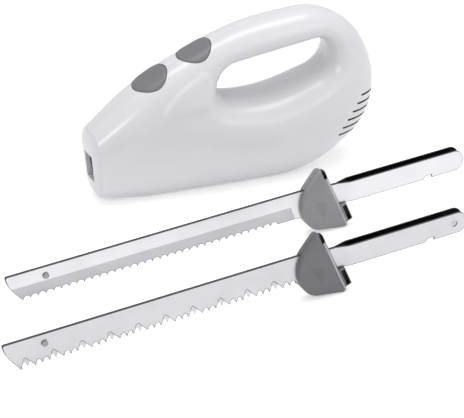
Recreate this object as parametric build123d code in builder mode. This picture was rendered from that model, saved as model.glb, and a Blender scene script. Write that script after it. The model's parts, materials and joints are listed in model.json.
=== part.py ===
from build123d import *
from math import asin, atan2, cos, degrees, hypot, pi, radians, sin
import os

# Electric carving knife with a loop handle, and two pairs of blades beside it.
# X runs from the nose to the rear, Z up, and the origin is the middle of the flat base.

os.makedirs("parts", exist_ok=True)

# ---- Housing ------------------------------------------------------------------------
wall = 2.5
nose_wall = 3.0
rim_radius = 12.0
grip_radius = 10.0
nose_radius = 2.6
base_front = -61.0
base_rear = 54.0
nose_slant = 9.3
part_gap = 0.35

# Side outline: corners of the outer form, each with the radius that rounds it.
outline_points = [
    (-114, 10), (base_front, 0), (base_rear, 0), (114, 34), (102, 93),
    (68, 119.5), (5.5, 113.5), (-67, 85), (-114, 47.3),
]
outline_radii = [70, 80, 51, 44, 37, 155, 215]
grip_points = [(-16, 61.7), (26.4, 56), (76, 69.6), (76, 92.6), (-10, 83.8)]
grip_radii = [8.8, 105, 15.5, 9.5, 16.5]

# Half widths at these heights, for cross sections from the nose to the rear.
section_heights = (-5, 30, 60, 90, 125)
section_widths = {
    -140: (15.5, 16, 16.5, 16.5, 16),
    -100: (15.5, 17.5, 19.5, 18.5, 16.5),
    -45: (19, 26.5, 24, 19, 17),
    10: (23, 30.5, 24, 18.5, 17.5),
    60: (24, 31, 25, 18.5, 17.5),
    120: (20, 25, 22, 17, 15),
}
half_room = 40.0

# ---- Blade slot in the nose -----------------------------------------------------------
slot_x = -100.0
slot_z = 26.0
slot_width = 10.0
slot_height = 16.0
liner_wall = 1.6
liner_length = 6.0

# ---- Buttons ----------------------------------------------------------------------------
button_length = 31.0
button_width = 26.0
button_depth = 6.0
button_flange = 0.8
button_flange_thickness = 1.4
button_dish_radius = 62.0
button_dish_depth = 0.9
button_proud = 0.5
release_x = -58.0
release_z = 86.0
release_slope = 29.0
release_travel = 4.0
power_x = -25.5
power_z = 101.5
power_slope = 22.0
power_travel = 3.0
flange_bottom = -button_depth - wall - button_flange_thickness

# ---- Release fork, springs and switch, in the frame of each button's stem -----------------
fork_plate = 3.0
fork_plate_front = -29.0
fork_plate_rear = 2.5
fork_leg_x = -76.0
fork_leg_length = 6.0
fork_leg_top = 64.0
fork_half_width = 11.6
latch_gap = 0.6
release_spring_place = -7.0
release_spring_height = 12.0
release_spring_radius = 4.2
release_spring_wire = 0.8
release_spring_turns = 5
power_stem_place = -13.0
plunger_radius = 2.0
plunger_play = 0.3
power_spring_height = 7.0
power_spring_radius = 3.4
power_spring_wire = 0.7
power_spring_turns = 4
switch_length = 16.0
switch_width = 12.0
switch_height = 12.0
shelf_thickness = 2.5
spring_seat_play = 0.1

# ---- Cooling slots ------------------------------------------------------------------------
vent_count = 6
vent_height = 1.35
vent_pitch = 5.2
vent_low_x = 72.5
vent_low_z = 25.0
vent_high_x = 93.0
vent_rib = 4.0

# ---- Motor, on an axis along X --------------------------------------------------------------
motor_z = 30.0
shaft_radius = 2.0
bearing_play = 0.03
bearing_radius = 4.0
bearing_length = 5.0
stator_front = 14.0
stator_length = 32.0
stator_width = 40.0
stator_height = 44.0
stator_corner = 8.0
armature_radius = 11.0
air_gap = 0.5
field_radius = 17.5
field_angle = 32.0
coil_thickness = 5.0
coil_clearance = 0.6
armature_slots = 12
slot_opening = 1.6
slot_depth = 5.0
winding_overhang = 5.5
winding_radius = 9.6
commutator_front = 57.0
commutator_length = 10.0
commutator_radius = 7.0
commutator_bars = 24
fan_front = -2.0
fan_length = 8.0
fan_radius = 19.0
fan_blades = 11
rear_bearing_front = 72.0
front_bearing_front = -12.0

# ---- Worm drive -------------------------------------------------------------------------------
gear_x = -28.0
module_size = 1.0
gear_teeth = 24
gear_thickness = 5.0
worm_pitch_radius = 4.0
tooth_thickness = 1.1
worm_turns = 6
axle_radius = 2.0
crank_throw = 4.0
crank_radius = 6.2
crank_gap = 0.3
worm_pitch = pi * module_size
gear_radius = gear_teeth * module_size / 2
gear_z = motor_z + worm_pitch_radius + gear_radius
worm_bearing_front = -46.0

# ---- Sliding bars ---------------------------------------------------------------------------------
bar_inner = 5.5
bar_thickness = 2.0
yoke_border = 3.5
yoke_play = 0.1
stroke = 4.0
socket_front = -89.5
socket_rear = -51.0
socket_inner = 0.6
socket_outer = 6.5
socket_skin = 1.4
tang_height_room = 15.4
slide_gap = 0.3
tang_play = 0.4
latch_drop = 0.9
latch_thickness = 0.5
bar_outer = bar_inner + bar_thickness
socket_bottom = slot_z - tang_height_room / 2 - socket_skin

# ---- Frame that carries motor, gear and bars --------------------------------------------------------
cheek_gap = 0.8
cheek_thickness = 2.5
frame_base = 13.0
frame_floor = 2.0
frame_top = 57.0
frame_rear = -6.0
cheek_front = -49.0
floor_front = -88.0
cheek_inner = bar_outer + cheek_gap
cheek_outer = cheek_inner + cheek_thickness

# ---- Blade sets ------------------------------------------------------------------------------------------
blade_height = 20.0
blade_thickness = 1.0
blade_gap = 0.1
tang_length = 98.0
tang_height = 14.8
tang_drop = 2.0
tang_spread = 3.3
bend_length = 9.0
tooth_front = 10.9
scallop_count = 34
scallop_pitch = 5.5
scallop_depth = 2.5
bevel_top_front = 9.9
bevel_top_rear = 11.7
edge_thickness = 0.35
gullet_periods = 10
gullet_period = 19.4
gullet_depth = 7.0
small_gullet_depth = 3.4
notch_from_end = 27.5
notch_length = 5.0
notch_depth = 2.2
rivet_radius = 1.5
rivet_head = 2.2
rivet_head_height = 0.7
rivet_from_tip = 28.0
rivet_drop = 6.6
blade_travel = 5.5
bread_reach = 214.0
frozen_reach = 204.5
guard_thickness = 5.4
guard_recess = 0.8
guard_rim = 2.4
guard_corner_radius = 2.5
set_yaw = 3.6
bread_foot = (-194.6, -117.4)
frozen_foot = (-225.6, -200.5)


def write(node, name):
    """Label one finished piece and write its file."""
    node.part.label = name
    export_step(node.part, f"parts/{name}.step")


def write_other_side(node, name):
    """Write the same piece mirrored to the other side of the parting plane."""
    with BuildPart() as other:
        add(node.part)
        mirror(about=Plane.XZ, mode=Mode.REPLACE)
    write(other, name)


# ---- Housing forms ------------------------------------------------------------------


def housing_form(inset):
    """The rounded outer form, or with an inset the space inside its walls."""
    slant = radians(nose_slant)
    depth = nose_wall if inset else 0
    nose_plane = Plane(
        origin=(slot_x + depth, 0, slot_z), x_dir=(0, 1, 0), z_dir=(cos(slant), 0, sin(slant))
    )
    with BuildPart() as form:
        for x, widths in section_widths.items():
            with BuildSketch(Plane.YZ.offset(x)):
                with BuildLine():
                    corners = [(w - inset, z) for w, z in zip(widths, section_heights)]
                    near_side = Spline(*corners)
                    far_side = Spline(*[(-y, z) for y, z in corners])
                    Line(near_side @ 0, far_side @ 0)
                    Line(near_side @ 1, far_side @ 1)
                make_face()
        loft()
        with BuildSketch(Plane.XZ):
            with BuildLine():
                rounded = FilletPolyline(*outline_points, radius=outline_radii)
                Line(rounded @ 1, rounded @ 0)
            make_face()
            with BuildLine():
                FilletPolyline(*grip_points, radius=grip_radii, close=True)
            make_face(mode=Mode.SUBTRACT)
            if inset:
                offset(amount=-inset)
        extrude(amount=half_room, both=True, mode=Mode.INTERSECT)
        sides = form.faces().filter_by(lambda face: abs(face.normal_at().Y) > 0.8)
        rims = [edge for face in sides for edge in face.edges()]
        front_end = form.part.bounding_box().min.X
        grip_rims = [edge for edge in rims if in_grip(edge.center())]
        outer_rims = [
            edge for edge in rims if not in_grip(edge.center()) and edge.center().X > front_end + 0.1
        ]
        fillet(outer_rims, radius=rim_radius - inset)
        fillet(grip_rims, radius=grip_radius - inset)
        split(bisect_by=nose_plane, keep=Keep.TOP)
        if not inset:
            nose_face = form.faces().sort_by(Axis.X)[0]
            fillet(nose_face.edges(), radius=nose_radius)
    return form.part


def in_grip(point):
    """Whether a point lies near the rim of the hand hole."""
    rear = grip_points[2][0] + wall + 1
    front = grip_points[0][0] - wall - 1
    low = grip_points[1][1] - wall - 1
    high = grip_points[3][1] + wall + 1
    return front < point.X < rear and low < point.Z < high


outer_form = housing_form(0)
inner_form = housing_form(wall)


def button_plane(x, z, slope):
    """A plane on the housing's top, with its normal along the button's stem."""
    tilt = radians(slope)
    return Plane(origin=(x, 0, z), x_dir=(cos(tilt), 0, sin(tilt)), z_dir=(-sin(tilt), 0, cos(tilt)))


release_plane = button_plane(release_x, release_z, release_slope)
power_plane = button_plane(power_x, power_z, power_slope)
release_spring_top = flange_bottom - fork_plate - spring_seat_play
release_shelf = release_spring_top - release_spring_height - spring_seat_play
switch_top = flange_bottom - power_spring_height - 2 * spring_seat_play
switch_shelf = switch_top - switch_height

# ---- Housing shells -----------------------------------------------------------------
boss_radius = 4.0
screw_radius = 1.5
screw_head_radius = 2.8
screw_head_height = 2.0
screw_grip = 11.0
screw_sink_radius = 3.4
screw_play = 0.05
boss_places = [(-90.5, 47), (-13, 8), (58, 12), (93, 70), (28, 101.5), (-43, 72)]
rib_thickness = 2.0
stator_rib_places = [stator_front + 5, stator_front + stator_length - 5]
frame_rib_places = [cheek_front + 4, frame_rear - 3]
floor_rib_places = [floor_front + 4, -66.0]
rib_top = 57.0
bush_radius = 6.0
bush_bore = 3.6
bush_length = 6.0
bush_flange = 1.5
bush_x = 84.0
bush_z = 20.0
bush_slope = 50.0

bush_tilt = radians(bush_slope)
bush_plane = Plane(
    origin=(bush_x, 0, bush_z), x_dir=(0, 1, 0), z_dir=(sin(bush_tilt), 0, -cos(bush_tilt))
)

with BuildPart() as ribs:
    with BuildSketch(Plane.XZ):
        with Locations(*boss_places):
            Circle(boss_radius)
    extrude(amount=half_room, both=True)
    for x in stator_rib_places:
        with BuildSketch(Plane.YZ.offset(x - rib_thickness / 2)):
            Rectangle(2 * half_room, rib_top, align=(Align.CENTER, Align.MIN))
            with Locations((0, motor_z)):
                RectangleRounded(stator_width, stator_height, stator_corner, mode=Mode.SUBTRACT)
        extrude(amount=rib_thickness)
    for x in frame_rib_places:
        with BuildSketch(Plane.YZ.offset(x - rib_thickness / 2)):
            Rectangle(2 * half_room, frame_top - 2, align=(Align.CENTER, Align.MIN))
            with Locations((0, frame_base)):
                Rectangle(
                    2 * cheek_outer, frame_top, align=(Align.CENTER, Align.MIN), mode=Mode.SUBTRACT
                )
        extrude(amount=rib_thickness)
    for x in floor_rib_places:
        with BuildSketch(Plane.YZ.offset(x - rib_thickness / 2)):
            Rectangle(2 * half_room, frame_base, align=(Align.CENTER, Align.MIN))
        extrude(amount=rib_thickness)
    with BuildSketch(release_plane.offset(release_shelf)):
        with Locations((release_spring_place, 0)):
            Rectangle(4 * release_spring_radius, 2 * half_room)
    extrude(amount=-shelf_thickness)
    with BuildSketch(power_plane.offset(switch_shelf)):
        with Locations((power_stem_place, 0)):
            Rectangle(switch_length, 2 * half_room)
    extrude(amount=-shelf_thickness)
    add(outer_form, mode=Mode.INTERSECT)

with BuildPart() as housing:
    add(outer_form)
    add(inner_form, mode=Mode.SUBTRACT)
    add(ribs.part)
    for plane in (release_plane, power_plane):
        with BuildSketch(plane.offset(-button_depth - wall)):
            Ellipse(button_length / 2 + part_gap, button_width / 2 + part_gap)
        extrude(amount=half_room, mode=Mode.SUBTRACT)
    with BuildSketch(Plane.YZ.offset(slot_x - 10)):
        with Locations((0, slot_z)):
            Rectangle(slot_width + 2 * liner_wall, slot_height + 2 * liner_wall)
    extrude(amount=10 + liner_length + 1, mode=Mode.SUBTRACT)
    with BuildSketch(bush_plane.offset(-bush_length)):
        Circle(bush_radius)
    extrude(amount=half_room, mode=Mode.SUBTRACT)
    for index in range(vent_count):
        z = vent_low_z + index * vent_pitch
        lean = (vent_high_x - vent_low_x) / ((vent_count - 1) * vent_pitch)
        x = vent_low_x + lean * index * vent_pitch
        for side in (1, -1):
            with BuildSketch(Plane.XY.offset(z - vent_height / 2)):
                with Locations((x, side * vent_rib)):
                    Rectangle(
                        half_room, half_room,
                        align=(Align.MIN, Align.MIN if side > 0 else Align.MAX),
                    )
            extrude(amount=vent_height, mode=Mode.SUBTRACT)

with BuildPart() as left_shell:
    add(housing.part)
    split(bisect_by=Plane.XZ, keep=Keep.TOP)
    with BuildSketch(Plane.XZ):
        with Locations(*boss_places):
            Circle(screw_radius + screw_play)
    extrude(amount=screw_grip, mode=Mode.SUBTRACT)
write(left_shell, "left_shell")

with BuildPart() as right_shell:
    add(housing.part)
    split(bisect_by=Plane.XZ, keep=Keep.BOTTOM)
    with BuildSketch(Plane.XZ):
        with Locations(*boss_places):
            Circle(screw_radius + screw_play)
    extrude(amount=-half_room, mode=Mode.SUBTRACT)
    with BuildSketch(Plane.XZ.offset(-screw_grip)):
        with Locations(*boss_places):
            Circle(screw_sink_radius)
    extrude(amount=-half_room, mode=Mode.SUBTRACT)
write(right_shell, "right_shell")

with BuildPart() as housing_screws:
    with BuildSketch(Plane.XZ.offset(-screw_grip)):
        with Locations(*boss_places):
            Circle(screw_radius)
    extrude(amount=2 * screw_grip - 1)
    with BuildSketch(Plane.XZ.offset(-screw_grip)):
        with Locations(*boss_places):
            Circle(screw_head_radius)
    extrude(amount=-screw_head_height)
write(housing_screws, "housing_screws")

with BuildPart() as slot_liner:
    with BuildSketch(Plane.YZ.offset(slot_x - 10)):
        with Locations((0, slot_z)):
            Rectangle(slot_width + 2 * liner_wall, slot_height + 2 * liner_wall)
            Rectangle(slot_width, slot_height, mode=Mode.SUBTRACT)
    extrude(amount=10 + liner_length)
    add(outer_form, mode=Mode.INTERSECT)
write(slot_liner, "slot_liner")

with BuildPart() as cord_bush:
    with BuildSketch(bush_plane.offset(-bush_length)):
        Circle(bush_radius)
    extrude(amount=half_room)
    add(outer_form, mode=Mode.INTERSECT)
    with BuildSketch(bush_plane.offset(-bush_length - bush_flange)):
        Circle(bush_radius + bush_flange)
    extrude(amount=bush_flange)
    with BuildSketch(bush_plane.offset(-2 * bush_length)):
        Circle(bush_bore)
    extrude(amount=4 * bush_length, mode=Mode.SUBTRACT)
write(cord_bush, "cord_bush")

# ---- Buttons -----------------------------------------------------------------------------


def button_cap(plane):
    """A dished oval cap that follows the housing's top, with a flange below the wall."""
    with BuildPart() as cap:
        with BuildSketch(plane.offset(-button_depth - wall)):
            Ellipse(button_length / 2, button_width / 2)
        extrude(amount=half_room)
        add(outer_form.moved(Location(plane.z_dir * button_proud)), mode=Mode.INTERSECT)
        dish_centre = plane.offset(button_dish_radius + button_proud - button_dish_depth)
        with Locations(dish_centre):
            Sphere(button_dish_radius, mode=Mode.SUBTRACT)
        with BuildSketch(plane.offset(-button_depth - wall - button_flange_thickness)):
            Ellipse(button_length / 2 + button_flange, button_width / 2 + button_flange)
        extrude(amount=button_flange_thickness)
    return cap.part



with BuildPart() as release_button:
    add(button_cap(release_plane))
write(release_button, "release_button")

with BuildPart() as power_button:
    add(button_cap(power_plane))
write(power_button, "power_button")

latch_z = socket_bottom - latch_drop

with BuildPart() as release_fork:
    with BuildSketch(release_plane.offset(flange_bottom - fork_plate)):
        with Locations(((fork_plate_front + fork_plate_rear) / 2, 0)):
            Rectangle(fork_plate_rear - fork_plate_front, 2 * fork_half_width)
    extrude(amount=fork_plate)
    with BuildSketch(Plane.XY.offset(latch_z + latch_gap)):
        with GridLocations(0, 2 * fork_half_width - fork_plate, 1, 2):
            with Locations((fork_leg_x, 0)):
                Rectangle(fork_leg_length, fork_plate)
    extrude(amount=fork_leg_top - latch_z - latch_gap)
write(release_fork, "release_fork")


def coil_spring(foot, height, radius, wire, turns, name):
    """An open coil of round wire that stands on the plane of its foot."""
    with BuildPart() as coil:
        with BuildLine(Plane.XY.offset(wire / 2)):
            path = Helix(pitch=(height - wire) / turns, height=height - wire, radius=radius)
        with BuildSketch(Plane(origin=path @ 0, x_dir=(1, 0, 0), z_dir=path % 0)):
            Circle(wire / 2)
        sweep(path=path, is_frenet=True)
    with BuildPart() as spring:
        with Locations(foot):
            add(coil.part)
    write(spring, name)


release_seat = release_plane.offset(release_shelf + spring_seat_play)
release_foot = Plane(
    release_seat.from_local_coords((release_spring_place, 0, 0)),
    release_seat.x_dir, release_seat.z_dir,
)
coil_spring(
    release_foot, release_spring_height, release_spring_radius, release_spring_wire,
    release_spring_turns, "release_spring",
)

power_seat = power_plane.offset(switch_top)
stem_plane = Plane(
    power_seat.from_local_coords((power_stem_place, 0, 0)), power_seat.x_dir, power_seat.z_dir
)
coil_spring(
    stem_plane.offset(spring_seat_play), power_spring_height, power_spring_radius,
    power_spring_wire, power_spring_turns, "power_spring",
)

with BuildPart() as switch_plunger:
    with BuildSketch(stem_plane.offset(-plunger_radius)):
        Circle(plunger_radius)
    extrude(amount=flange_bottom - switch_top + plunger_radius)
write(switch_plunger, "switch_plunger")

with BuildPart() as switch_body:
    with BuildSketch(stem_plane):
        RectangleRounded(switch_length, switch_width, 1.0)
    extrude(amount=-switch_height)
    with BuildSketch(stem_plane):
        Circle(plunger_radius + plunger_play)
    extrude(amount=-plunger_radius - power_travel - 1, mode=Mode.SUBTRACT)
write(switch_body, "switch_body")

# ---- Motor ---------------------------------------------------------------------------------
bracket_thickness = 2.5
bracket_leg = 3.0
brush_width = 5.0
brush_length = 8.0
brush_gap = 0.3
holder_wall = 1.0
holder_outer = 16.0
shaft_front = worm_bearing_front - 1
shaft_rear = rear_bearing_front + bearing_length + 1
stator_rear = stator_front + stator_length
motor_axis = Plane.YZ


def on_shaft(x):
    """The plane across the motor axis at x."""
    return Plane(origin=(x, 0, motor_z), x_dir=(0, 1, 0), z_dir=(1, 0, 0))


with BuildPart() as motor_shaft:
    with BuildSketch(on_shaft(shaft_front)):
        Circle(shaft_radius)
    extrude(amount=shaft_rear - shaft_front)
write(motor_shaft, "motor_shaft")


def sector(inner, outer, half_angle):
    """A ring segment that is centred on the local X axis."""
    with BuildSketch(Plane.XY, mode=Mode.PRIVATE) as segment:
        with BuildLine():
            outside = CenterArc((0, 0), outer, -half_angle, 2 * half_angle)
            inside = CenterArc((0, 0), inner, -half_angle, 2 * half_angle)
            Line(outside @ 0, inside @ 0)
            Line(outside @ 1, inside @ 1)
        make_face()
    return segment.sketch


with BuildPart() as stator_stack:
    with BuildSketch(on_shaft(stator_front)):
        RectangleRounded(stator_width, stator_height, stator_corner)
        Circle(armature_radius + air_gap, mode=Mode.SUBTRACT)
        window = sector(armature_radius - 1, field_radius, field_angle)
        with PolarLocations(0, 2):
            add(window, mode=Mode.SUBTRACT)
    extrude(amount=stator_length)
write(stator_stack, "stator_stack")

coil_inner = armature_radius + air_gap + coil_clearance
coil_outer = field_radius - coil_clearance
coil_side_angle = field_angle / 2 - 2
coil_end_angle = 90 - field_angle / 2 + coil_side_angle

with BuildPart() as field_coils:
    for up in (1, -1):
        side = sector(coil_inner, coil_outer, coil_side_angle)
        ends = sector(coil_inner, coil_outer, coil_end_angle)
        with BuildSketch(on_shaft(stator_front - coil_clearance - coil_thickness)):
            for turn in (field_angle / 2 - 1, 181 - field_angle / 2):
                with Locations(Rotation(0, 0, up * turn)):
                    add(side)
        extrude(amount=stator_length + 2 * (coil_clearance + coil_thickness))
        for x in (stator_front - coil_clearance - coil_thickness, stator_rear + coil_clearance):
            with BuildSketch(on_shaft(x)):
                with Locations(Rotation(0, 0, up * 90)):
                    add(ends)
            extrude(amount=coil_thickness)
write(field_coils, "field_coils")

with BuildPart() as armature_core:
    with BuildSketch(on_shaft(stator_front)):
        Circle(armature_radius)
        Circle(shaft_radius, mode=Mode.SUBTRACT)
        with PolarLocations(armature_radius, armature_slots):
            Rectangle(2, slot_opening, mode=Mode.SUBTRACT)
        with PolarLocations(armature_radius - 1 - slot_depth / 2, armature_slots):
            Circle(slot_depth / 3, mode=Mode.SUBTRACT)
    extrude(amount=stator_length)
write(armature_core, "armature_core")

with BuildPart() as armature_windings:
    with BuildSketch(on_shaft(stator_front - winding_overhang)):
        with PolarLocations(armature_radius - 1 - slot_depth / 2, armature_slots):
            Circle(slot_depth / 3 - 0.1)
    extrude(amount=stator_length + 2 * winding_overhang)
    for x in (stator_front - winding_overhang, stator_rear):
        with BuildSketch(on_shaft(x)):
            Circle(winding_radius)
            Circle(shaft_radius, mode=Mode.SUBTRACT)
        extrude(amount=winding_overhang)
write(armature_windings, "armature_windings")

with BuildPart() as commutator:
    with BuildSketch(on_shaft(commutator_front)):
        Circle(commutator_radius)
        Circle(shaft_radius, mode=Mode.SUBTRACT)
        with PolarLocations(commutator_radius, commutator_bars):
            Rectangle(0.8, 0.4, mode=Mode.SUBTRACT)
    extrude(amount=commutator_length)
    with BuildSketch(on_shaft(commutator_front - 1.5)):
        Circle(commutator_radius + 1)
        Circle(shaft_radius, mode=Mode.SUBTRACT)
    extrude(amount=1.5)
write(commutator, "commutator")

with BuildPart() as cooling_fan:
    with BuildSketch(on_shaft(fan_front)):
        Circle(fan_radius)
        Circle(shaft_radius, mode=Mode.SUBTRACT)
    extrude(amount=1.2)
    with BuildSketch(on_shaft(fan_front)):
        Circle(2 * shaft_radius)
        Circle(shaft_radius, mode=Mode.SUBTRACT)
        with PolarLocations(fan_radius * 0.65, fan_blades, rotate=True):
            Rectangle(fan_radius * 0.6, 1.2, rotation=25)
    extrude(amount=fan_length)
write(cooling_fan, "cooling_fan")


def sleeve(x, name):
    """A sleeve bearing on the motor axis, from x towards the rear."""
    with BuildPart() as bearing:
        with BuildSketch(on_shaft(x)):
            Circle(bearing_radius)
            Circle(shaft_radius + bearing_play, mode=Mode.SUBTRACT)
        extrude(amount=bearing_length)
    write(bearing, name)


sleeve(worm_bearing_front, "worm_bearing")
sleeve(front_bearing_front, "front_bearing")
sleeve(rear_bearing_front, "rear_bearing")

# The rear bracket stands on the stator with two legs and holds bearing and brushes.
brush_x = commutator_front + commutator_length / 2
holder_room = brush_width + 2 * holder_wall

with BuildPart() as rear_bracket:
    with BuildSketch(on_shaft(rear_bearing_front)):
        RectangleRounded(stator_width, 2 * bearing_radius + 8, bearing_radius)
        Circle(bearing_radius, mode=Mode.SUBTRACT)
    extrude(amount=bracket_thickness)
    with BuildSketch(on_shaft(rear_bearing_front)):
        Circle(bearing_radius + 2)
        Circle(bearing_radius, mode=Mode.SUBTRACT)
    extrude(amount=bearing_length)
    with BuildSketch(on_shaft(stator_rear)):
        with GridLocations(stator_width - bracket_leg, 0, 2, 1):
            Rectangle(bracket_leg, 2 * bearing_radius + 2)
    extrude(amount=rear_bearing_front - stator_rear)
write(rear_bracket, "rear_bracket")

leg_inner = stator_width / 2 - bracket_leg

with BuildPart() as brush_holders:
    for side in (1, -1):
        with BuildSketch(Plane.XZ.offset(side * leg_inner)):
            with Locations((brush_x, motor_z)):
                Rectangle(holder_room, holder_room)
                Rectangle(brush_width, brush_width, mode=Mode.SUBTRACT)
        extrude(amount=side * (commutator_radius + 1.5 - leg_inner))
write(brush_holders, "brush_holders")

with BuildPart() as carbon_brushes:
    for side in (1, -1):
        with BuildSketch(Plane.XZ.offset(side * (commutator_radius + brush_gap))):
            with Locations((brush_x, motor_z)):
                Rectangle(brush_width, brush_width)
        extrude(amount=side * brush_length)
write(carbon_brushes, "carbon_brushes")

# ---- Worm drive -----------------------------------------------------------------------------
thread_root = worm_pitch_radius - 1.2 * module_size
thread_top = worm_pitch_radius + module_size
worm_start = gear_x + worm_pitch / 2 - worm_pitch * worm_turns / 2
worm_length = worm_pitch * (worm_turns + 1)
flank = 0.36 * module_size

def tooth_shape(root):
    """Section of one tooth, with its tip towards the local X."""
    with BuildSketch(Plane.XY, mode=Mode.PRIVATE) as tooth:
        with BuildLine():
            Polyline(
                (-root, tooth_thickness / 2 + flank),
                (module_size, tooth_thickness / 2 - flank),
                (module_size, -tooth_thickness / 2 + flank),
                (-root, -tooth_thickness / 2 - flank),
                close=True,
            )
        make_face()
    return tooth.sketch


with BuildPart() as thread:
    with BuildLine():
        helix = Helix(pitch=worm_pitch, height=worm_pitch * (worm_turns - 1), radius=worm_pitch_radius)
    with BuildSketch(Plane(origin=helix @ 0, x_dir=(1, 0, 0), z_dir=helix % 0)):
        add(tooth_shape(1.3 * module_size))
    sweep(path=helix, is_frenet=True)

with BuildPart() as worm:
    with BuildSketch(on_shaft(gear_x - worm_length / 2)):
        Circle(thread_root)
    extrude(amount=worm_length)
    with Locations(Plane(origin=(worm_start, 0, motor_z), x_dir=(0, 0, 1), z_dir=(1, 0, 0))):
        add(thread.part)
    with BuildSketch(on_shaft(gear_x - worm_length / 2)):
        Circle(shaft_radius)
    extrude(amount=worm_length, mode=Mode.SUBTRACT)
write(worm, "worm")


def gear_plane(y):
    """The plane of the worm gear at y, with its X towards the rear and its Y up."""
    return Plane(origin=(gear_x, y, gear_z), x_dir=(1, 0, 0), z_dir=(0, -1, 0))


with BuildPart() as worm_gear:
    with BuildSketch(gear_plane(gear_thickness / 2)):
        Circle(gear_radius - 1.2 * module_size)
        with PolarLocations(gear_radius, gear_teeth, start_angle=-90, rotate=True):
            add(tooth_shape(1.6 * module_size))
    extrude(amount=gear_thickness)
    for side in (1, -1):
        with BuildSketch(gear_plane(-side * gear_thickness / 2)):
            with Locations((0, side * crank_throw)):
                Circle(crank_radius)
        extrude(amount=side * (bar_inner - crank_gap - gear_thickness / 2))
    with BuildSketch(gear_plane(bar_inner)):
        Circle(axle_radius + bearing_play)
    extrude(amount=2 * bar_inner, mode=Mode.SUBTRACT)
write(worm_gear, "worm_gear")

with BuildPart() as gear_axle:
    with BuildSketch(gear_plane(cheek_outer)):
        Circle(axle_radius)
    extrude(amount=2 * cheek_outer)
write(gear_axle, "gear_axle")

# ---- Sliding bars with their latches -----------------------------------------------------------
yoke_half_width = crank_radius + yoke_play
yoke_half_height = crank_radius + crank_throw + yoke_play
socket_top = slot_z + tang_height_room / 2 + socket_skin
notch_x = socket_rear - socket_skin - notch_from_end
notch_window = notch_length + 1.0
arm_overlap = 10.0

with BuildPart() as drive_bar_left:
    with BuildSketch(Plane.XZ.offset(bar_inner)):
        with Locations((gear_x, gear_z)):
            RectangleRounded(
                2 * (yoke_half_width + yoke_border), 2 * (yoke_half_height + yoke_border),
                yoke_border,
            )
        with BuildLine():
            yoke_front = gear_x - yoke_half_width - yoke_border
            Polyline(
                (yoke_front + yoke_border / 2, gear_z + 6),
                (yoke_front - 5, gear_z + 2),
                (socket_rear, socket_top),
                (socket_rear - arm_overlap, socket_top),
                (socket_rear - arm_overlap, socket_bottom),
                (socket_rear, socket_bottom),
                (yoke_front + yoke_border / 2, gear_z - 6),
                close=True,
            )
        make_face()
        with Locations((gear_x, gear_z)):
            RectangleRounded(2 * yoke_half_width, 2 * yoke_half_height, 1.0, mode=Mode.SUBTRACT)
    extrude(amount=bar_thickness)
    with BuildSketch(Plane.XZ.offset(socket_inner)):
        with Locations(((socket_front + socket_rear) / 2, (socket_bottom + socket_top) / 2)):
            RectangleRounded(socket_rear - socket_front, socket_top - socket_bottom, 1.5)
    extrude(amount=socket_outer - socket_inner)
    with BuildSketch(Plane.XZ.offset(tang_spread - blade_thickness / 2 - tang_play)):
        with Locations((socket_front - 1, slot_z)):
            Rectangle(
                socket_rear - socket_front - socket_skin + 1, tang_height_room,
                align=(Align.MIN, Align.CENTER),
            )
        with Locations((notch_x, socket_bottom)):
            Rectangle(notch_window, 3 * socket_skin)
    extrude(amount=blade_thickness + 2 * tang_play, mode=Mode.SUBTRACT)
write(drive_bar_left, "drive_bar_left")
write_other_side(drive_bar_left, "drive_bar_right")

latch_width = 4.0
latch_tooth = 3.0
latch_pad = 6.0
latch_front = notch_x - 5.0
latch_rear = socket_rear - 2.0

with BuildPart() as latch_spring_left:
    with BuildSketch(Plane.XZ.offset(tang_spread - latch_width / 2)):
        with BuildLine():
            Polyline(
                (latch_rear, socket_bottom),
                (latch_rear - latch_pad, socket_bottom),
                (latch_rear - latch_pad - 3, latch_z),
                (latch_front, latch_z),
                (latch_front, latch_z - latch_thickness),
                (latch_rear - latch_pad - 3, latch_z - latch_thickness),
                (latch_rear - latch_pad, socket_bottom - latch_thickness),
                (latch_rear, socket_bottom - latch_thickness),
                close=True,
            )
        make_face()
    extrude(amount=latch_width)
    with BuildSketch(Plane.XZ.offset(tang_spread - blade_thickness / 2)):
        with Locations((notch_x, latch_z - latch_thickness)):
            Rectangle(
                latch_tooth, latch_drop + latch_thickness + socket_skin + 1.4,
                align=(Align.CENTER, Align.MIN),
            )
    extrude(amount=blade_thickness)
    with BuildSketch(Plane.XY.offset(latch_z)):
        with Locations((fork_leg_x, -tang_spread)):
            Rectangle(
                fork_leg_length - 1, fork_half_width - tang_spread,
                align=(Align.CENTER, Align.MAX),
            )
    extrude(amount=-latch_thickness)
write(latch_spring_left, "latch_spring_left")
write_other_side(latch_spring_left, "latch_spring_right")

# ---- Frame that carries motor, gear and bars ------------------------------------------------------
rail_top = socket_bottom - slide_gap
rail_length = 5.0
rail_places = [socket_rear - rail_length / 2 - 0.5, floor_front + rail_length / 2]
rail_inner = tang_spread + latch_width / 2 + 0.3
pedestal_half = bar_inner - 0.5
rail_width = cheek_inner - 0.2 - rail_inner

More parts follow.
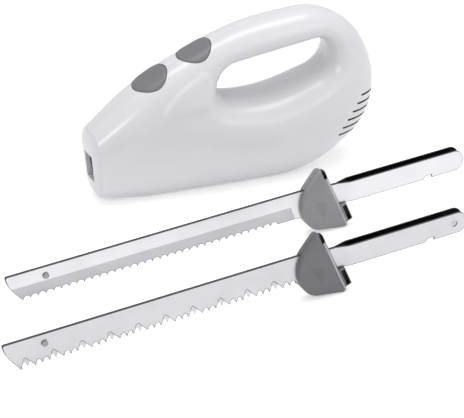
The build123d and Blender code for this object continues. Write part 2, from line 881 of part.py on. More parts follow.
with BuildPart() as motor_frame:
    for side in (1, -1):
        with BuildSketch(Plane.XZ.offset(side * cheek_inner)):
            with BuildLine():
                FilletPolyline(
                    (cheek_front, frame_base),
                    (frame_rear, frame_base),
                    (frame_rear, frame_top - 8),
                    (frame_rear - 9, frame_top),
                    (cheek_front + 12, frame_top),
                    (cheek_front, frame_top - 20),
                    radius=[2, 2, 2, 2, 6, 6],
                    close=True,
                )
            make_face()
            with Locations((gear_x, gear_z)):
                Circle(axle_radius, mode=Mode.SUBTRACT)
            with Locations((gear_x, motor_z - 5)):
                SlotOverall(22, 9, mode=Mode.SUBTRACT)
        extrude(amount=side * cheek_thickness)
    with BuildSketch(Plane.XY.offset(frame_base)):
        with Locations((floor_front, 0)):
            Rectangle(
                frame_rear - floor_front, 2 * (cheek_inner - 0.2), align=(Align.MIN, Align.CENTER)
            )
        with Locations((cheek_front, 0)):
            Rectangle(frame_rear - cheek_front, 2 * cheek_inner, align=(Align.MIN, Align.CENTER))
    extrude(amount=frame_floor)
    for x in rail_places:
        with BuildSketch(Plane.XY.offset(frame_base)):
            with GridLocations(0, 2 * rail_inner + rail_width, 1, 2):
                with Locations((x, 0)):
                    Rectangle(rail_length, rail_width)
        extrude(amount=rail_top - frame_base)
    for x, half in ((worm_bearing_front, pedestal_half), (front_bearing_front, cheek_inner)):
        with BuildSketch(on_shaft(x)):
            with Locations((0, frame_base - motor_z)):
                Rectangle(2 * half, motor_z - frame_base, align=(Align.CENTER, Align.MIN))
            Circle(min(half, bearing_radius + 2))
            Circle(bearing_radius, mode=Mode.SUBTRACT)
        extrude(amount=bearing_length)
write(motor_frame, "motor_frame")

# ---- Blade sets ---------------------------------------------------------------------------------------
# Each pair stands on the surface on its first tooth and on the rear corner of its guard.
# Guard outline: corners behind and above the front of the guard, with their radii.
guard_points = [(19, 15.5), (-6, -11.5), (9, -31), (37.4, -35.5)]
guard_radii = [4, 22, 14, guard_corner_radius]
guard_play = 0.15
guard_edge = 1.8
hook_front = 24.0
hook_rear = 39.0
hook_top = -17.6
hook_bottom = -31.0
hook_wall = 1.2
hook_half = 4.6
tang_step = 24.0
bend_start = 30.0
tip_radius = 1.4
tang_corner = 3.0
hole_radius = 2.3
hole_from_end = 10.0


def corner_centre(before, corner, after, radius):
    """Centre of the arc that rounds a corner."""
    into = (Vector(before) - Vector(corner)).normalized()
    out = (Vector(after) - Vector(corner)).normalized()
    half = radians(into.get_angle(out)) / 2
    return Vector(corner) + (into + out).normalized() * (radius / sin(half))


def set_frame(reach, foot):
    """Plane of a blade pair: X along the spine, Y up, origin at the spine's front end."""
    points = [Vector(reach + x, y) for x, y in guard_points]
    heel = corner_centre(points[2], points[3], points[0], guard_corner_radius)
    span = hypot(heel.X - tooth_front, heel.Y + blade_height)
    drop = atan2(-blade_height - heel.Y, heel.X - tooth_front)
    pitch = drop + asin(guard_corner_radius / span)
    yaw = radians(set_yaw)
    ahead = tooth_front * cos(pitch) + blade_height * sin(pitch)
    origin = (
        foot[0] - ahead * cos(yaw),
        foot[1] - ahead * sin(yaw),
        blade_height * cos(pitch) - tooth_front * sin(pitch),
    )
    along = (cos(yaw) * cos(pitch), sin(yaw) * cos(pitch), sin(pitch))
    return Plane(origin=origin, x_dir=along, z_dir=(sin(yaw), -cos(yaw), 0))


def scallops(x, depth, pitch):
    """One hollow of the cutting edge, towards the rear from x."""
    ThreePointArc(
        (x, -blade_height), (x + pitch / 2, -blade_height + depth), (x + pitch, -blade_height)
    )


def gullet(x, turn):
    """One deep gullet, steep on one side, and two small ones."""
    long_width = gullet_period / 2
    small = gullet_period / 4
    edge = -blade_height
    first = x if turn > 0 else x + gullet_period
    steep = (first + turn * 1.6, edge + gullet_depth - 2.4)
    crown = (first + turn * 2.9, edge + gullet_depth)
    slope = (first + turn * 4.6, edge + gullet_depth - 1.4)
    Line((first, edge), steep)
    ThreePointArc(steep, crown, slope)
    Line(slope, (first + turn * long_width, edge))
    for index in range(2):
        start = first + turn * (long_width + index * small)
        lean = turn * small / 7
        shoulder = edge + small_gullet_depth / 2
        Line((start, edge), (start + lean, shoulder))
        ThreePointArc(
            (start + lean, shoulder),
            (start + turn * small / 2, edge + small_gullet_depth),
            (start + turn * small - lean, shoulder),
        )
        Line((start + turn * small - lean, shoulder), (start + turn * small, edge))


def blade_side(reach, kind, turn):
    """Side view of one blade and its tang."""
    step = reach + tang_step
    end = reach + tang_step + 6 + tang_length
    low = -tang_drop - tang_height
    notch_rear = end - notch_from_end + notch_length / 2
    notch_front = notch_rear - notch_length
    with BuildSketch() as side:
        with BuildLine():
            RadiusArc((0, -tip_radius), (tip_radius, 0), tip_radius)
            Polyline((tip_radius, 0), (step, 0), (step + 2, -tang_drop), (end - tang_corner, -tang_drop))
            RadiusArc((end - tang_corner, -tang_drop), (end, -tang_drop - tang_corner), tang_corner)
            Line((end, -tang_drop - tang_corner), (end, low + tang_corner))
            RadiusArc((end, low + tang_corner), (end - tang_corner, low), tang_corner)
            Polyline(
                (end - tang_corner, low),
                (notch_rear, low),
                (notch_rear, low + notch_depth),
                (notch_front, low + notch_depth),
                (notch_front - notch_depth / 2, low),
                (step + 2, low),
                (step, -blade_height),
            )
            if kind == "bread":
                for index in range(scallop_count):
                    scallops(tooth_front + index * scallop_pitch, scallop_depth, scallop_pitch)
                last = tooth_front + scallop_count * scallop_pitch
            else:
                for index in range(gullet_periods):
                    gullet(tooth_front + index * gullet_period, turn)
                last = tooth_front + gullet_periods * gullet_period
            Line((last, -blade_height), (step, -blade_height))
            ThreePointArc(
                (tooth_front, -blade_height),
                (tooth_front * 0.28, -blade_height / 2),
                (0, -tip_radius),
            )
        make_face()
    return side.sketch


def blade(frame, reach, kind, near):
    """One blade of a pair; near is 1 for the blade towards -Y, -1 for the other."""
    end = reach + tang_step + 6 + tang_length
    inner = blade_gap / 2
    tang_inner = tang_spread - blade_thickness / 2
    bend = reach + bend_start
    with BuildPart() as made:
        with BuildSketch(frame):
            add(blade_side(reach, kind, near))
        extrude(amount=half_room / 4, both=True)
        flat = Plane(origin=frame.origin, x_dir=frame.x_dir, z_dir=-frame.y_dir)
        with BuildSketch(flat):
            with BuildLine():
                Polyline(
                    (-10, near * inner),
                    (bend, near * inner),
                    (bend + bend_length, near * tang_inner),
                    (end + 10, near * tang_inner),
                    (end + 10, near * (tang_inner + blade_thickness)),
                    (bend + bend_length, near * (tang_inner + blade_thickness)),
                    (bend, near * (inner + blade_thickness)),
                    (-10, near * (inner + blade_thickness)),
                    close=True,
                )
            make_face()
        extrude(amount=2 * half_room, both=True, mode=Mode.INTERSECT)
        if kind == "bread":
            outer = near * (inner + blade_thickness)
            edge = near * (inner + edge_thickness)
            rear = reach - 4
            with BuildSketch(Plane(frame.from_local_coords((-1, 0, 0)), frame.z_dir, frame.x_dir)):
                with BuildLine():
                    Polyline(
                        (outer, bevel_top_front),
                        (edge, blade_height + 0.1),
                        (outer + near, blade_height + 0.1),
                        (outer + near, bevel_top_front),
                        close=True,
                    )
                make_face()
            extrude(amount=rear + 1, mode=Mode.SUBTRACT)
        rivet_place = (rivet_from_tip, -rivet_drop)
        with BuildSketch(frame):
            with Locations(rivet_place):
                if near > 0:
                    Circle(rivet_radius + 0.05)
                else:
                    SlotCenterToCenter(2 * blade_travel + 1, 2 * rivet_radius + 0.1)
            if kind == "frozen" and near > 0:
                with Locations((end - hole_from_end, -tang_drop - tang_height / 2)):
                    Circle(hole_radius)
        extrude(amount=half_room / 4, both=True, mode=Mode.SUBTRACT)
    return made.part


def guard_outline(reach, inset):
    """Side view of the finger guard."""
    with BuildSketch() as side:
        with BuildLine():
            FilletPolyline(
                *[(reach + x, y) for x, y in guard_points], radius=guard_radii, close=True
            )
        make_face()
        if inset:
            offset(amount=-inset)
    return side.sketch


def guard(frame, reach, near):
    """One half of the finger guard, moulded round its blade."""
    with BuildPart() as half:
        with BuildSketch(frame.offset(near * guard_play)):
            add(guard_outline(reach, 0))
        extrude(amount=near * (guard_thickness - guard_play))
        outer_face = [
            side for side in half.faces()
            if abs(frame.to_local_coords(side.center()).Z - near * guard_thickness) < 0.01
        ]
        fillet(outer_face[0].edges(), radius=guard_edge)
        with BuildSketch(frame.offset(near * (guard_thickness - guard_recess))):
            add(guard_outline(reach, guard_rim))
        extrude(amount=near * 2, mode=Mode.SUBTRACT)
        with BuildSketch(frame.offset(near * guard_play)):
            with Locations((reach + hook_front, (hook_top + hook_bottom) / 2)):
                Rectangle(hook_rear - hook_front, hook_top - hook_bottom, align=(Align.MIN, Align.CENTER))
        extrude(amount=near * (hook_half - guard_play))
        with BuildSketch(frame.offset(near * guard_play)):
            with Locations((reach + hook_front + 4, (hook_top + hook_bottom) / 2)):
                Rectangle(
                    hook_rear - hook_front, hook_top - hook_bottom - 2 * hook_wall,
                    align=(Align.MIN, Align.CENTER),
                )
        extrude(amount=near * (hook_half - hook_wall - guard_play), mode=Mode.SUBTRACT)
        with BuildSketch(frame):
            with Locations((reach - 20, 0.1)):
                Rectangle(80, blade_height + 0.2, align=(Align.MIN, Align.MAX))
        extrude(amount=near * (blade_gap / 2 + blade_thickness), mode=Mode.SUBTRACT)
    return half.part


def rivet(frame):
    """A headed rivet that holds the tips of a pair together."""
    face = blade_gap / 2 + blade_thickness
    place = (rivet_from_tip, -rivet_drop)
    with BuildPart() as pin:
        with BuildSketch(frame.offset(-face - 0.1)):
            with Locations(place):
                Circle(rivet_radius)
        extrude(amount=2 * face + 0.1)
        with BuildSketch(frame.offset(face)):
            with Locations(place):
                Circle(rivet_head)
        extrude(amount=rivet_head_height)
        with BuildSketch(frame.offset(-face - 0.1)):
            with Locations(place):
                Circle(rivet_head)
        extrude(amount=-rivet_head_height)
    return pin.part


for kind, reach, foot in (
    ("bread", bread_reach, bread_foot), ("frozen", frozen_reach, frozen_foot)
):
    frame = set_frame(reach, foot)
    for near, side_name in ((1, "near"), (-1, "far")):
        with BuildPart() as one_blade:
            add(blade(frame, reach, kind, near))
        write(one_blade, f"{kind}_blade_{side_name}")
        with BuildPart() as one_guard:
            add(guard(frame, reach, near))
        write(one_guard, f"{kind}_guard_{side_name}")
    with BuildPart() as one_rivet:
        add(rivet(frame))
    write(one_rivet, f"{kind}_rivet")
    print(kind, "blade axis", frame.x_dir, "origin", frame.origin)
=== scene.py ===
# %% [markdown]
# # An electric carving knife with two loose pairs of blades
# The solids come from a finished CAD model: a white loop-handled housing in two halves, two
# push buttons, and two pairs of steel blades with grey finger guards. Here they get their
# finishes, and the forms that are easier to shape as a mesh: the soft skin of the housing, the
# buttons that carry it on, the ground blades with all their teeth, and the guards' relief.

# %% Load the frame
import json
from math import cos, hypot, radians, sin

import bmesh
import bpy
import numpy as np
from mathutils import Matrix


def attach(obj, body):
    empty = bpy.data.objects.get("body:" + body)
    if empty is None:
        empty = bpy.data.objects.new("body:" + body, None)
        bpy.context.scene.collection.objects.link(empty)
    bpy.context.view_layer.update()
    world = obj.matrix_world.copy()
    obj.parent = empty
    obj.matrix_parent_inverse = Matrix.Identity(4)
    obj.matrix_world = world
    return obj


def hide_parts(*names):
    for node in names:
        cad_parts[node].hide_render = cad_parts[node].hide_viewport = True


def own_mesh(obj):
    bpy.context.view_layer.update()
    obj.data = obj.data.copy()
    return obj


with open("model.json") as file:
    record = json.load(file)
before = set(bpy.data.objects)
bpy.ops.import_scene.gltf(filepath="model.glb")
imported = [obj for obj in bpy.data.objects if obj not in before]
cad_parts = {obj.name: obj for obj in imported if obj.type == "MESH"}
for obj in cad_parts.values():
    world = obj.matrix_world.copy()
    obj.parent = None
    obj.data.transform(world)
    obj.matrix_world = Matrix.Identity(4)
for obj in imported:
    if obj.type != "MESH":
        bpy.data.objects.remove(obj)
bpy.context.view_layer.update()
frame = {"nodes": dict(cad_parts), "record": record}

import openvdb
from mathutils import Matrix, Vector
from mathutils.geometry import tessellate_polygon

nodes = frame["nodes"]
print("CAD nodes:", len(nodes))

# %% [markdown]
# ## The camera
# The photograph was taken from above and a little to the left of the knife's side, from far
# enough that lines hardly converge. A long lens gives that look. It could be found by eye, but
# here the view was solved from points on the housing: a direction, a distance to the tip of
# the nose, and where that tip falls in the picture.

# %% Camera
MM = 0.001
VIEW_AZIMUTH = radians(-23.3)
VIEW_ELEVATION = radians(27.0)
NOSE_TIP = Vector((-0.100, 0.0, 0.026))
CAMERA_DISTANCE = 2.0
CAMERA_RIGHT_OF_NOSE = 0.0953
CAMERA_BELOW_NOSE = 0.03015
PICTURE_WIDTH = 464
FOCAL_PIXELS = 2899


def new_object(name, data):
    """An object with its data, linked into the scene."""
    made = bpy.data.objects.new(name, data)
    bpy.context.scene.collection.objects.link(made)
    return made


toward_camera = Vector((
    sin(VIEW_AZIMUTH) * cos(VIEW_ELEVATION),
    -cos(VIEW_AZIMUTH) * cos(VIEW_ELEVATION),
    sin(VIEW_ELEVATION),
))
picture_right = Vector((cos(VIEW_AZIMUTH), sin(VIEW_AZIMUTH), 0.0))
picture_up = toward_camera.cross(picture_right)

camera_data = bpy.data.cameras.new("camera")
camera_data.sensor_width = 36.0
camera_data.lens = FOCAL_PIXELS / PICTURE_WIDTH * camera_data.sensor_width
camera_data.clip_end = 20.0
camera = new_object("camera", camera_data)
place = (NOSE_TIP + CAMERA_DISTANCE * toward_camera
         + CAMERA_RIGHT_OF_NOSE * picture_right - CAMERA_BELOW_NOSE * picture_up)
turn = Matrix((picture_right, picture_up, toward_camera)).transposed()
camera.matrix_world = Matrix.Translation(place) @ turn.to_4x4()
bpy.context.scene.camera = camera
print("camera at", [round(v, 3) for v in place], "lens", round(camera_data.lens, 1), "mm")

# %% [markdown]
# ## Colour and nodes
# Paint and plastic colours are known as sRGB hex values, while the shader works in linear
# light, so one function turns them. Others add a shader node with its settings and links,
# which keeps each material short enough to read.

# %% Helpers for materials


def linear(hex_colour):
    """The linear RGBA of an sRGB hex colour."""
    parts = [int(hex_colour[i:i + 2], 16) / 255 for i in (1, 3, 5)]
    return [c / 12.92 if c <= 0.04045 else ((c + 0.055) / 1.055) ** 2.4 for c in parts] + [1.0]


def fill_sockets(tree, node, sockets):
    """Each socket gets a value, or a link where the value is an output."""
    for name, value in sockets.items():
        if isinstance(value, bpy.types.NodeSocket):
            tree.links.new(value, node.inputs[name])
        else:
            node.inputs[name].default_value = value


def add_node(tree, kind, sockets=None, **settings):
    """Adds a node with its settings and sockets."""
    node = tree.nodes.new(kind)
    for name, value in settings.items():
        setattr(node, name, value)
    fill_sockets(tree, node, sockets or {})
    return node


def empty_tree(owner):
    """The node tree of a material or world, with nothing in it."""
    owner.use_nodes = True
    owner.node_tree.nodes.clear()
    return owner.node_tree


def start_material(name):
    """An empty material with its tree, shader and object coordinates."""
    material = bpy.data.materials.new(name)
    tree = empty_tree(material)
    shader = add_node(tree, "ShaderNodeBsdfPrincipled")
    add_node(tree, "ShaderNodeOutputMaterial", {"Surface": shader.outputs["BSDF"]})
    where = add_node(tree, "ShaderNodeTexCoord").outputs["Object"]
    return material, tree, shader, where


# %% [markdown]
# ## Moulded plastics
# The housing is white ABS from a polished mould: glossy, a little wavy, and never quite one
# white, because thick and thin places cool differently. The buttons and guards come from
# spark-eroded moulds, which leave a fine even grain and a softer shine. One recipe serves all:
# a slow cloud of colour, a roughness that drifts a little, and a grain that only bends light.

# %% Recipe for moulded plastic


def moulded_plastic(name, pale, deep, cloud_mm, roughness, grain_mm, relief_mm, ior=1.53):
    """A plastic that varies between two hex colours and has a moulded grain."""
    material, tree, shader, where = start_material(name)
    cloud = add_node(tree, "ShaderNodeTexNoise", {
        "Vector": where, "Scale": 1 / (cloud_mm * MM), "Detail": 3.0, "Roughness": 0.55,
    })
    colour = add_node(tree, "ShaderNodeMix", {
        0: cloud.outputs["Fac"], 6: linear(pale), 7: linear(deep),
    }, data_type="RGBA")
    drift = add_node(tree, "ShaderNodeMapRange", {
        "Value": cloud.outputs["Fac"], "To Min": roughness * 0.88, "To Max": roughness * 1.12,
    })
    grain = add_node(tree, "ShaderNodeTexNoise", {
        "Vector": where, "Scale": 1 / (grain_mm * MM), "Detail": 2.0, "Roughness": 0.6,
    })
    bump = add_node(tree, "ShaderNodeBump", {
        "Height": grain.outputs["Fac"], "Strength": 1.0, "Distance": relief_mm * MM,
    })
    fill_sockets(tree, shader, {
        "Base Color": colour.outputs[2], "Roughness": drift.outputs["Result"],
        "Normal": bump.outputs["Normal"], "IOR": ior,
    })
    return material


# Polished mould: a mirror-like skin with waves too long to feel.
white_abs = moulded_plastic("gloss_white_moulded_abs", "#E6E6E9", "#DFDFE3", 30, 0.24, 6, 0.010)
# Fine spark-eroded mould: the dull, even shine of a push button.
grey_abs = moulded_plastic("satin_grey_moulded_abs", "#7F7F82", "#777779", 12, 0.42, 0.6, 0.012)
# Polypropylene feels waxy, so its shine is broad and its colour slightly cloudy.
guard_plastic = moulded_plastic(
    "satin_grey_moulded_polypropylene", "#959597", "#8C8C8F", 9, 0.46, 0.7, 0.014, ior=1.49
)
# The second pair has guards of a darker batch.
dark_guard_plastic = moulded_plastic(
    "satin_dark_grey_moulded_polypropylene", "#747476", "#6B6B6E", 9, 0.46, 0.7, 0.014, ior=1.49
)
# Along the guard's rear border the mould was polished, so the plastic is glossier there; its paler
# colour is painted highlight for the light that border catches.
border_plastic_painted_light = moulded_plastic(
    "gloss_grey_moulded_polypropylene_painted_light", "#C4C4C6", "#B6B6B9", 9, 0.3, 0.7, 0.008, ior=1.49
)
# Parts that nobody is meant to see stay black and matt. The same black is painted as shade on the
# walls of the housing's vent pockets and of the guards' slot and catch hole.
black_nylon_and_painted_shade = moulded_plastic(
    "matt_black_glass_filled_nylon_and_painted_shade", "#1D1D1F", "#151517", 8, 0.6, 0.9, 0.02
)
dark_nylon = moulded_plastic(
    "dark_grey_glass_filled_nylon", "#39393C", "#303033", 8, 0.55, 0.9, 0.02
)
# Acetal, unfilled, keeps its ivory colour and a slippery, even shine.
gear_acetal = moulded_plastic(
    "ivory_moulded_acetal", "#E4DFD0", "#DAD5C5", 6, 0.38, 0.8, 0.01, ior=1.48
)
# Rubber and pressed carbon swallow the light: hardly a highlight, and a powdery grain.
bush_rubber = moulded_plastic(
    "matt_black_moulded_rubber", "#202022", "#17171A", 5, 0.72, 0.7, 0.03, ior=1.52
)
brush_carbon = moulded_plastic("pressed_carbon", "#26262A", "#19191B", 3, 0.5, 0.3, 0.03, ior=1.6)

# %% [markdown]
# ## Metals
# Each blade is stamped from stainless strip, ground flat along its length and then ground to
# a bevel on one side. The grinding lines run along the blade, so light stretches across them.
# A metal's colour is its reflection colour, and its roughness holds the lines. Inside, the
# same recipe gives drawn wire, stamped iron and enamelled copper with other lines and colours.

# %% Recipe for worked metal
BLADE_YAW = radians(3.6)
BLADE_PITCH = radians(-3.67)


def worked_metal(name, pale, deep, roughness, line_mm, line_length_mm, relief_mm):
    """A metal with lines from grinding, drawing or stamping that run along the blades."""
    material, tree, shader, where = start_material(name)
    along = add_node(tree, "ShaderNodeMapping", {
        "Vector": where,
        "Rotation": (0.0, BLADE_PITCH, BLADE_YAW),
        "Scale": (line_length_mm * MM, line_mm * MM, line_mm * MM),
    }, vector_type="TEXTURE")
    lines = add_node(tree, "ShaderNodeTexNoise", {
        "Vector": along.outputs["Vector"], "Scale": 1.0, "Detail": 4.0, "Roughness": 0.65,
    })
    cloud = add_node(tree, "ShaderNodeTexNoise", {
        "Vector": where, "Scale": 1 / (18 * MM), "Detail": 2.0,
    })
    colour = add_node(tree, "ShaderNodeMix", {
        0: cloud.outputs["Fac"], 6: linear(pale), 7: linear(deep),
    }, data_type="RGBA")
    drift = add_node(tree, "ShaderNodeMapRange", {
        "Value": lines.outputs["Fac"], "From Min": 0.3, "From Max": 0.7,
        "To Min": roughness * 0.8, "To Max": roughness * 1.2,
    })
    bump = add_node(tree, "ShaderNodeBump", {
        "Height": lines.outputs["Fac"], "Strength": 1.0, "Distance": relief_mm * MM,
    })
    fill_sockets(tree, shader, {
        "Base Color": colour.outputs[2], "Roughness": drift.outputs["Result"],
        "Normal": bump.outputs["Normal"], "Metallic": 1.0,
    })
    return material


# Ground along its length: light stretches into streaks across the grinding lines.
blade_steel = worked_metal("ground_stainless_steel", "#DCDCDE", "#D0D0D3", 0.34, 0.5, 30, 0.006)
# The coarse blades are only tumbled after grinding, so they look a shade greyer and softer.
coarse_blade_steel = worked_metal(
    "satin_stainless_steel", "#CBCBCD", "#BDBDC0", 0.36, 0.5, 30, 0.006
)
# A bevel is ground across with a rough wheel, which breaks the shine up. Its darker colour is
# painted shade, standing in for the dimmer reflection of the tilted bevel.
bevel_steel_painted_shade = worked_metal(
    "coarse_ground_stainless_steel_painted_shade", "#BFBFC2", "#AFAFB3", 0.44, 0.7, 1.2, 0.02
)
# A stamped edge is torn and dull. Its dark grey, on the blade's edge walls and on a thin border
# round every tooth, is painted shade that draws a dark outline.
cut_edge_steel_painted_shade = worked_metal(
    "dull_stamped_steel_edge_painted_shade", "#6A6A6D", "#59595C", 0.5, 0.3, 2, 0.01
)
rivet_steel = worked_metal("turned_steel", "#9B9B9E", "#8B8B8E", 0.4, 0.3, 0.3, 0.01)
# The tangs' inner faces only mirror each other, so their colour is painted almost black as shade.
inner_face_painted_shade_steel = worked_metal(
    "steel_painted_near_black_as_shade", "#1A1A1C", "#121214", 0.4, 0.4, 10, 0.004
)
# Inside the housing: bright pins and shafts, drawn springs, grey iron, warm copper and bronze.
bright_steel = worked_metal("polished_steel", "#D8D8DA", "#CBCBCE", 0.22, 0.4, 4, 0.002)
spring_steel = worked_metal("drawn_spring_steel", "#B9BABD", "#A6A7AB", 0.36, 0.3, 3, 0.006)
core_iron = worked_metal("stamped_electrical_iron", "#77787D", "#66676B", 0.48, 0.5, 0.5, 0.02)
winding_copper = worked_metal("enamelled_copper_wire", "#C9783F", "#A95C2C", 0.3, 0.5, 8, 0.05)
bearing_bronze = worked_metal("sintered_bronze", "#B98F55", "#A17A45", 0.5, 0.3, 0.3, 0.01)

# %% Give every CAD node the finish of its material slot
finish_of_slot = {
    "white_plastic": white_abs,
    "grey_plastic": grey_abs,
    "guard_plastic": guard_plastic,
    "black_plastic": black_nylon_and_painted_shade,
    "frame_plastic": dark_nylon,
    "blade_steel": blade_steel,
    "bright_steel": bright_steel,
    "spring_steel": spring_steel,
    "core_steel": core_iron,
    "copper": winding_copper,
    "bronze": bearing_bronze,
    "gear_nylon": gear_acetal,
    "carbon": brush_carbon,
    "rubber": bush_rubber,
}
slot_of_node = {s["node"]: s["material_slot"] for s in frame["record"]["subparts"]}


def give_finishes(mesh, finishes):
    """The mesh's material slots, in order; its faces keep the marks they have in a new mesh."""
    if mesh.materials:
        mesh.materials.clear()
    for finish in finishes:
        mesh.materials.append(finish)


for name, node in nodes.items():
    give_finishes(node.data, [finish_of_slot[slot_of_node[name]]])
print("finishes:", sorted(set(slot_of_node.values())))

# %% [markdown]
# ## The housing as one smooth field
# The real housing is two ABS mouldings that meet along the middle. Its skin flows from a flat
# side into a round handle with no edge anywhere, which is hard to get from flat patches. So the
# form is written as a field: at each point of a fine grid, how far in from the outline, from
# the hand hole, from the nose face and from the side the point lies. Where these add up to one
# is the skin, and Blender's volume library turns that into an even mesh.

# %% Outline of the side view, in millimetres


def rounded(points, radii, step=0.8):
    """A closed line through the corners in points, each rounded with its radius."""
    line = []
    count = len(points)
    for i, radius in enumerate(radii):
        corner = np.array(points[i], float)
        before = np.array(points[i - 1], float) - corner
        after = np.array(points[(i + 1) % count], float) - corner
        before /= np.linalg.norm(before)
        after /= np.linalg.norm(after)
        half = np.arccos(np.clip(before @ after, -1, 1)) / 2
        middle = (before + after) / np.linalg.norm(before + after)
        centre = corner + middle * radius / np.sin(half)
        start = corner + before * radius / np.tan(half) - centre
        end = corner + after * radius / np.tan(half) - centre
        a0 = np.arctan2(start[1], start[0])
        turn = (np.arctan2(end[1], end[0]) - a0 + np.pi) % (2 * np.pi) - np.pi
        steps = max(3, int(abs(turn) * radius / step))
        angles = a0 + turn * np.linspace(0, 1, steps)
        line.append(centre + radius * np.stack([np.cos(angles), np.sin(angles)], 1))
    return np.concatenate(line)


# The outline runs from the nose along the base, round the rear and back over the handle.
outer_line = rounded(
    [(-114, 5.5), (-66, 0), (54, 0), (113.5, 39), (102.8, 95.7), (68.3, 120.1), (5.6, 114.0),
     (-65.6, 83.2), (-114, 44.5)],
    [1, 70, 80, 51, 55, 50, 155, 215, 1],
)
hole_line = rounded(
    [(-14.5, 64.8), (26.4, 58), (73.5, 73.2), (73.5, 96.6), (-8.5, 87.2)],
    [8.8, 105, 15.5, 9.5, 16.5],
)


def depth_inside(line, x, z):
    """Distance from a closed line, in millimetres, positive inside it."""
    start = line
    end = np.roll(line, -1, 0)
    across = end - start
    length = np.maximum((across ** 2).sum(1), 1e-9)
    nearest = np.full(x.shape, 1e9)
    crossings = np.zeros(x.shape, int)
    for (sx, sz), (ax, az), square in zip(start, across, length):
        t = np.clip(((x - sx) * ax + (z - sz) * az) / square, 0, 1)
        nearest = np.minimum(nearest, (x - sx - t * ax) ** 2 + (z - sz - t * az) ** 2)
        if az != 0:
            cut = ((sz > z) != (sz + az > z)) & (x < sx + ax * (z - sz) / az)
            crossings += cut
    return np.sqrt(nearest) * np.where(crossings % 2 == 1, 1, -1)


# %% Half widths and roundings over the side view


def smooth_table(rows, columns, values, x, z):
    """A table of values read between its rows and columns with soft steps."""
    values = np.array(values, float)

    def weights(stops, at):
        at = np.clip(at, stops[0], stops[-1])
        i = np.clip(np.searchsorted(stops, at) - 1, 0, len(stops) - 2)
        stops = np.array(stops, float)
        return i, (at - stops[i]) / (stops[i + 1] - stops[i])

    i, u = weights(rows, x)
    j, v = weights(columns, z)

    def pick(a, b):
        return values[np.clip(a, 0, len(rows) - 1), np.clip(b, 0, len(columns) - 1)]

    def spline(p0, p1, p2, p3, t):
        curve = 2 * p0 - 5 * p1 + 4 * p2 - p3 + t * (3 * (p1 - p2) + p3 - p0)
        return p1 + 0.5 * t * (p2 - p0 + t * curve)

    lines = [spline(pick(i + k, j - 1), pick(i + k, j), pick(i + k, j + 1), pick(i + k, j + 2), v)
             for k in (-1, 0, 1, 2)]
    return spline(*lines, u)


# The fold on each side starts beside the rear button, runs down crisp, and turns back soft under
# the hand. The side stands a little prouder inside it.
FOLD_LINE = np.array([
    (-25, 91.5), (-28, 89), (-34, 85.4), (-40, 81.6), (-45.5, 77.6), (-50.5, 73), (-54.5, 68),
    (-56.8, 62.5), (-55.5, 56.8), (-50.5, 51.5), (-42.5, 47.2), (-33, 44), (-20, 41.5), (-4, 39.5),
])
FOLD_HEIGHT = [0, 1.2, 2.1, 2.5, 2.5, 2.3, 2.0, 1.7, 1.5, 1.3, 1.1, 0.8, 0.4, 0]
FOLD_SOFTNESS = [0.8, 0.8, 0.8, 0.8, 0.85, 1.1, 1.7, 2.6, 3.4, 4.0, 5.0, 6.5, 8, 9]
FOLD_REACH = 34.0
FOLD_BLEND = 2.2


def side_fold(x, z):
    """How far the fold lifts the side, in millimetres, led by the nearest parts of its line."""
    lift = np.zeros(x.shape)
    total = np.full(x.shape, 1e-12)
    for i in range(len(FOLD_LINE) - 1):
        start, across = FOLD_LINE[i], FOLD_LINE[i + 1] - FOLD_LINE[i]
        length = np.hypot(*across)
        t = ((x - start[0]) * across[0] + (z - start[1]) * across[1]) / length ** 2
        t = np.clip(t, 0, 1)
        away_x, away_z = x - start[0] - t * across[0], z - start[1] - t * across[1]
        distance = np.hypot(away_x, away_z)
        inward = distance * np.sign(across[0] * away_z - across[1] * away_x)
        height = FOLD_HEIGHT[i] + t * (FOLD_HEIGHT[i + 1] - FOLD_HEIGHT[i])
        soft = FOLD_SOFTNESS[i] + t * (FOLD_SOFTNESS[i + 1] - FOLD_SOFTNESS[i])
        step = 0.5 + 0.5 * np.tanh(inward / soft)
        here = height * step * np.exp(-(np.maximum(inward, 0) / FOLD_REACH) ** 2)
        weight = np.exp(-distance / FOLD_BLEND)
        lift += weight * here
        total += weight
    return lift / total


# Each table has a row for a place along the housing and a column for a height over the base.
WIDTH_ROWS = [-140, -100, -45, 10, 60, 120]
WIDTH_COLUMNS = [-5, 30, 60, 90, 125]
# Half of the housing's width: slim at the nose, full round the motor, slim again in the handle.
HALF_WIDTHS = [
    [15.5, 16, 16.5, 16.5, 16],
    [15.5, 17.5, 19.5, 18.5, 16.5],
    [19, 26.5, 24, 19, 17],
    [23, 30.5, 24, 18.5, 17.5],
    [24, 31, 25, 18.5, 17.5],
    [20, 25, 22, 17, 15],
]
# How far the rounding of the rim reaches in from the outline, and from the side.
RIM_DEPTHS = [
    [8, 16, 18, 14, 13],
    [8, 16, 18, 14, 13],
    [9, 20, 22, 14, 13],
    [12, 20, 20, 15, 14],
    [12, 20, 20, 17, 17],
    [16, 22, 20, 17, 17],
]
SIDE_ROUNDING = [
    [12, 12, 13, 13, 13],
    [12, 13, 15, 13, 13],
    [13, 16, 18, 14, 13],
    [13, 18, 18, 15, 14],
    [14, 18, 18, 17, 16],
    [16, 18, 17, 16, 14],
]
# The same round the hand hole, which makes the handle nearly round for the fingers.
HOLE_DEPTHS = [[14, 14, 14, 13, 13]] * len(WIDTH_ROWS)
NOSE_SLANT = radians(6.0)
NOSE_PLACE = (-103.4, 26.0)
NOSE_ROUNDING = 3.2
FIELD_STEEPNESS = 10


def plane_depth(x, z):
    """How far behind the slanted nose face a point lies."""
    return (x - NOSE_PLACE[0]) * cos(NOSE_SLANT) + (z - NOSE_PLACE[1]) * sin(NOSE_SLANT)


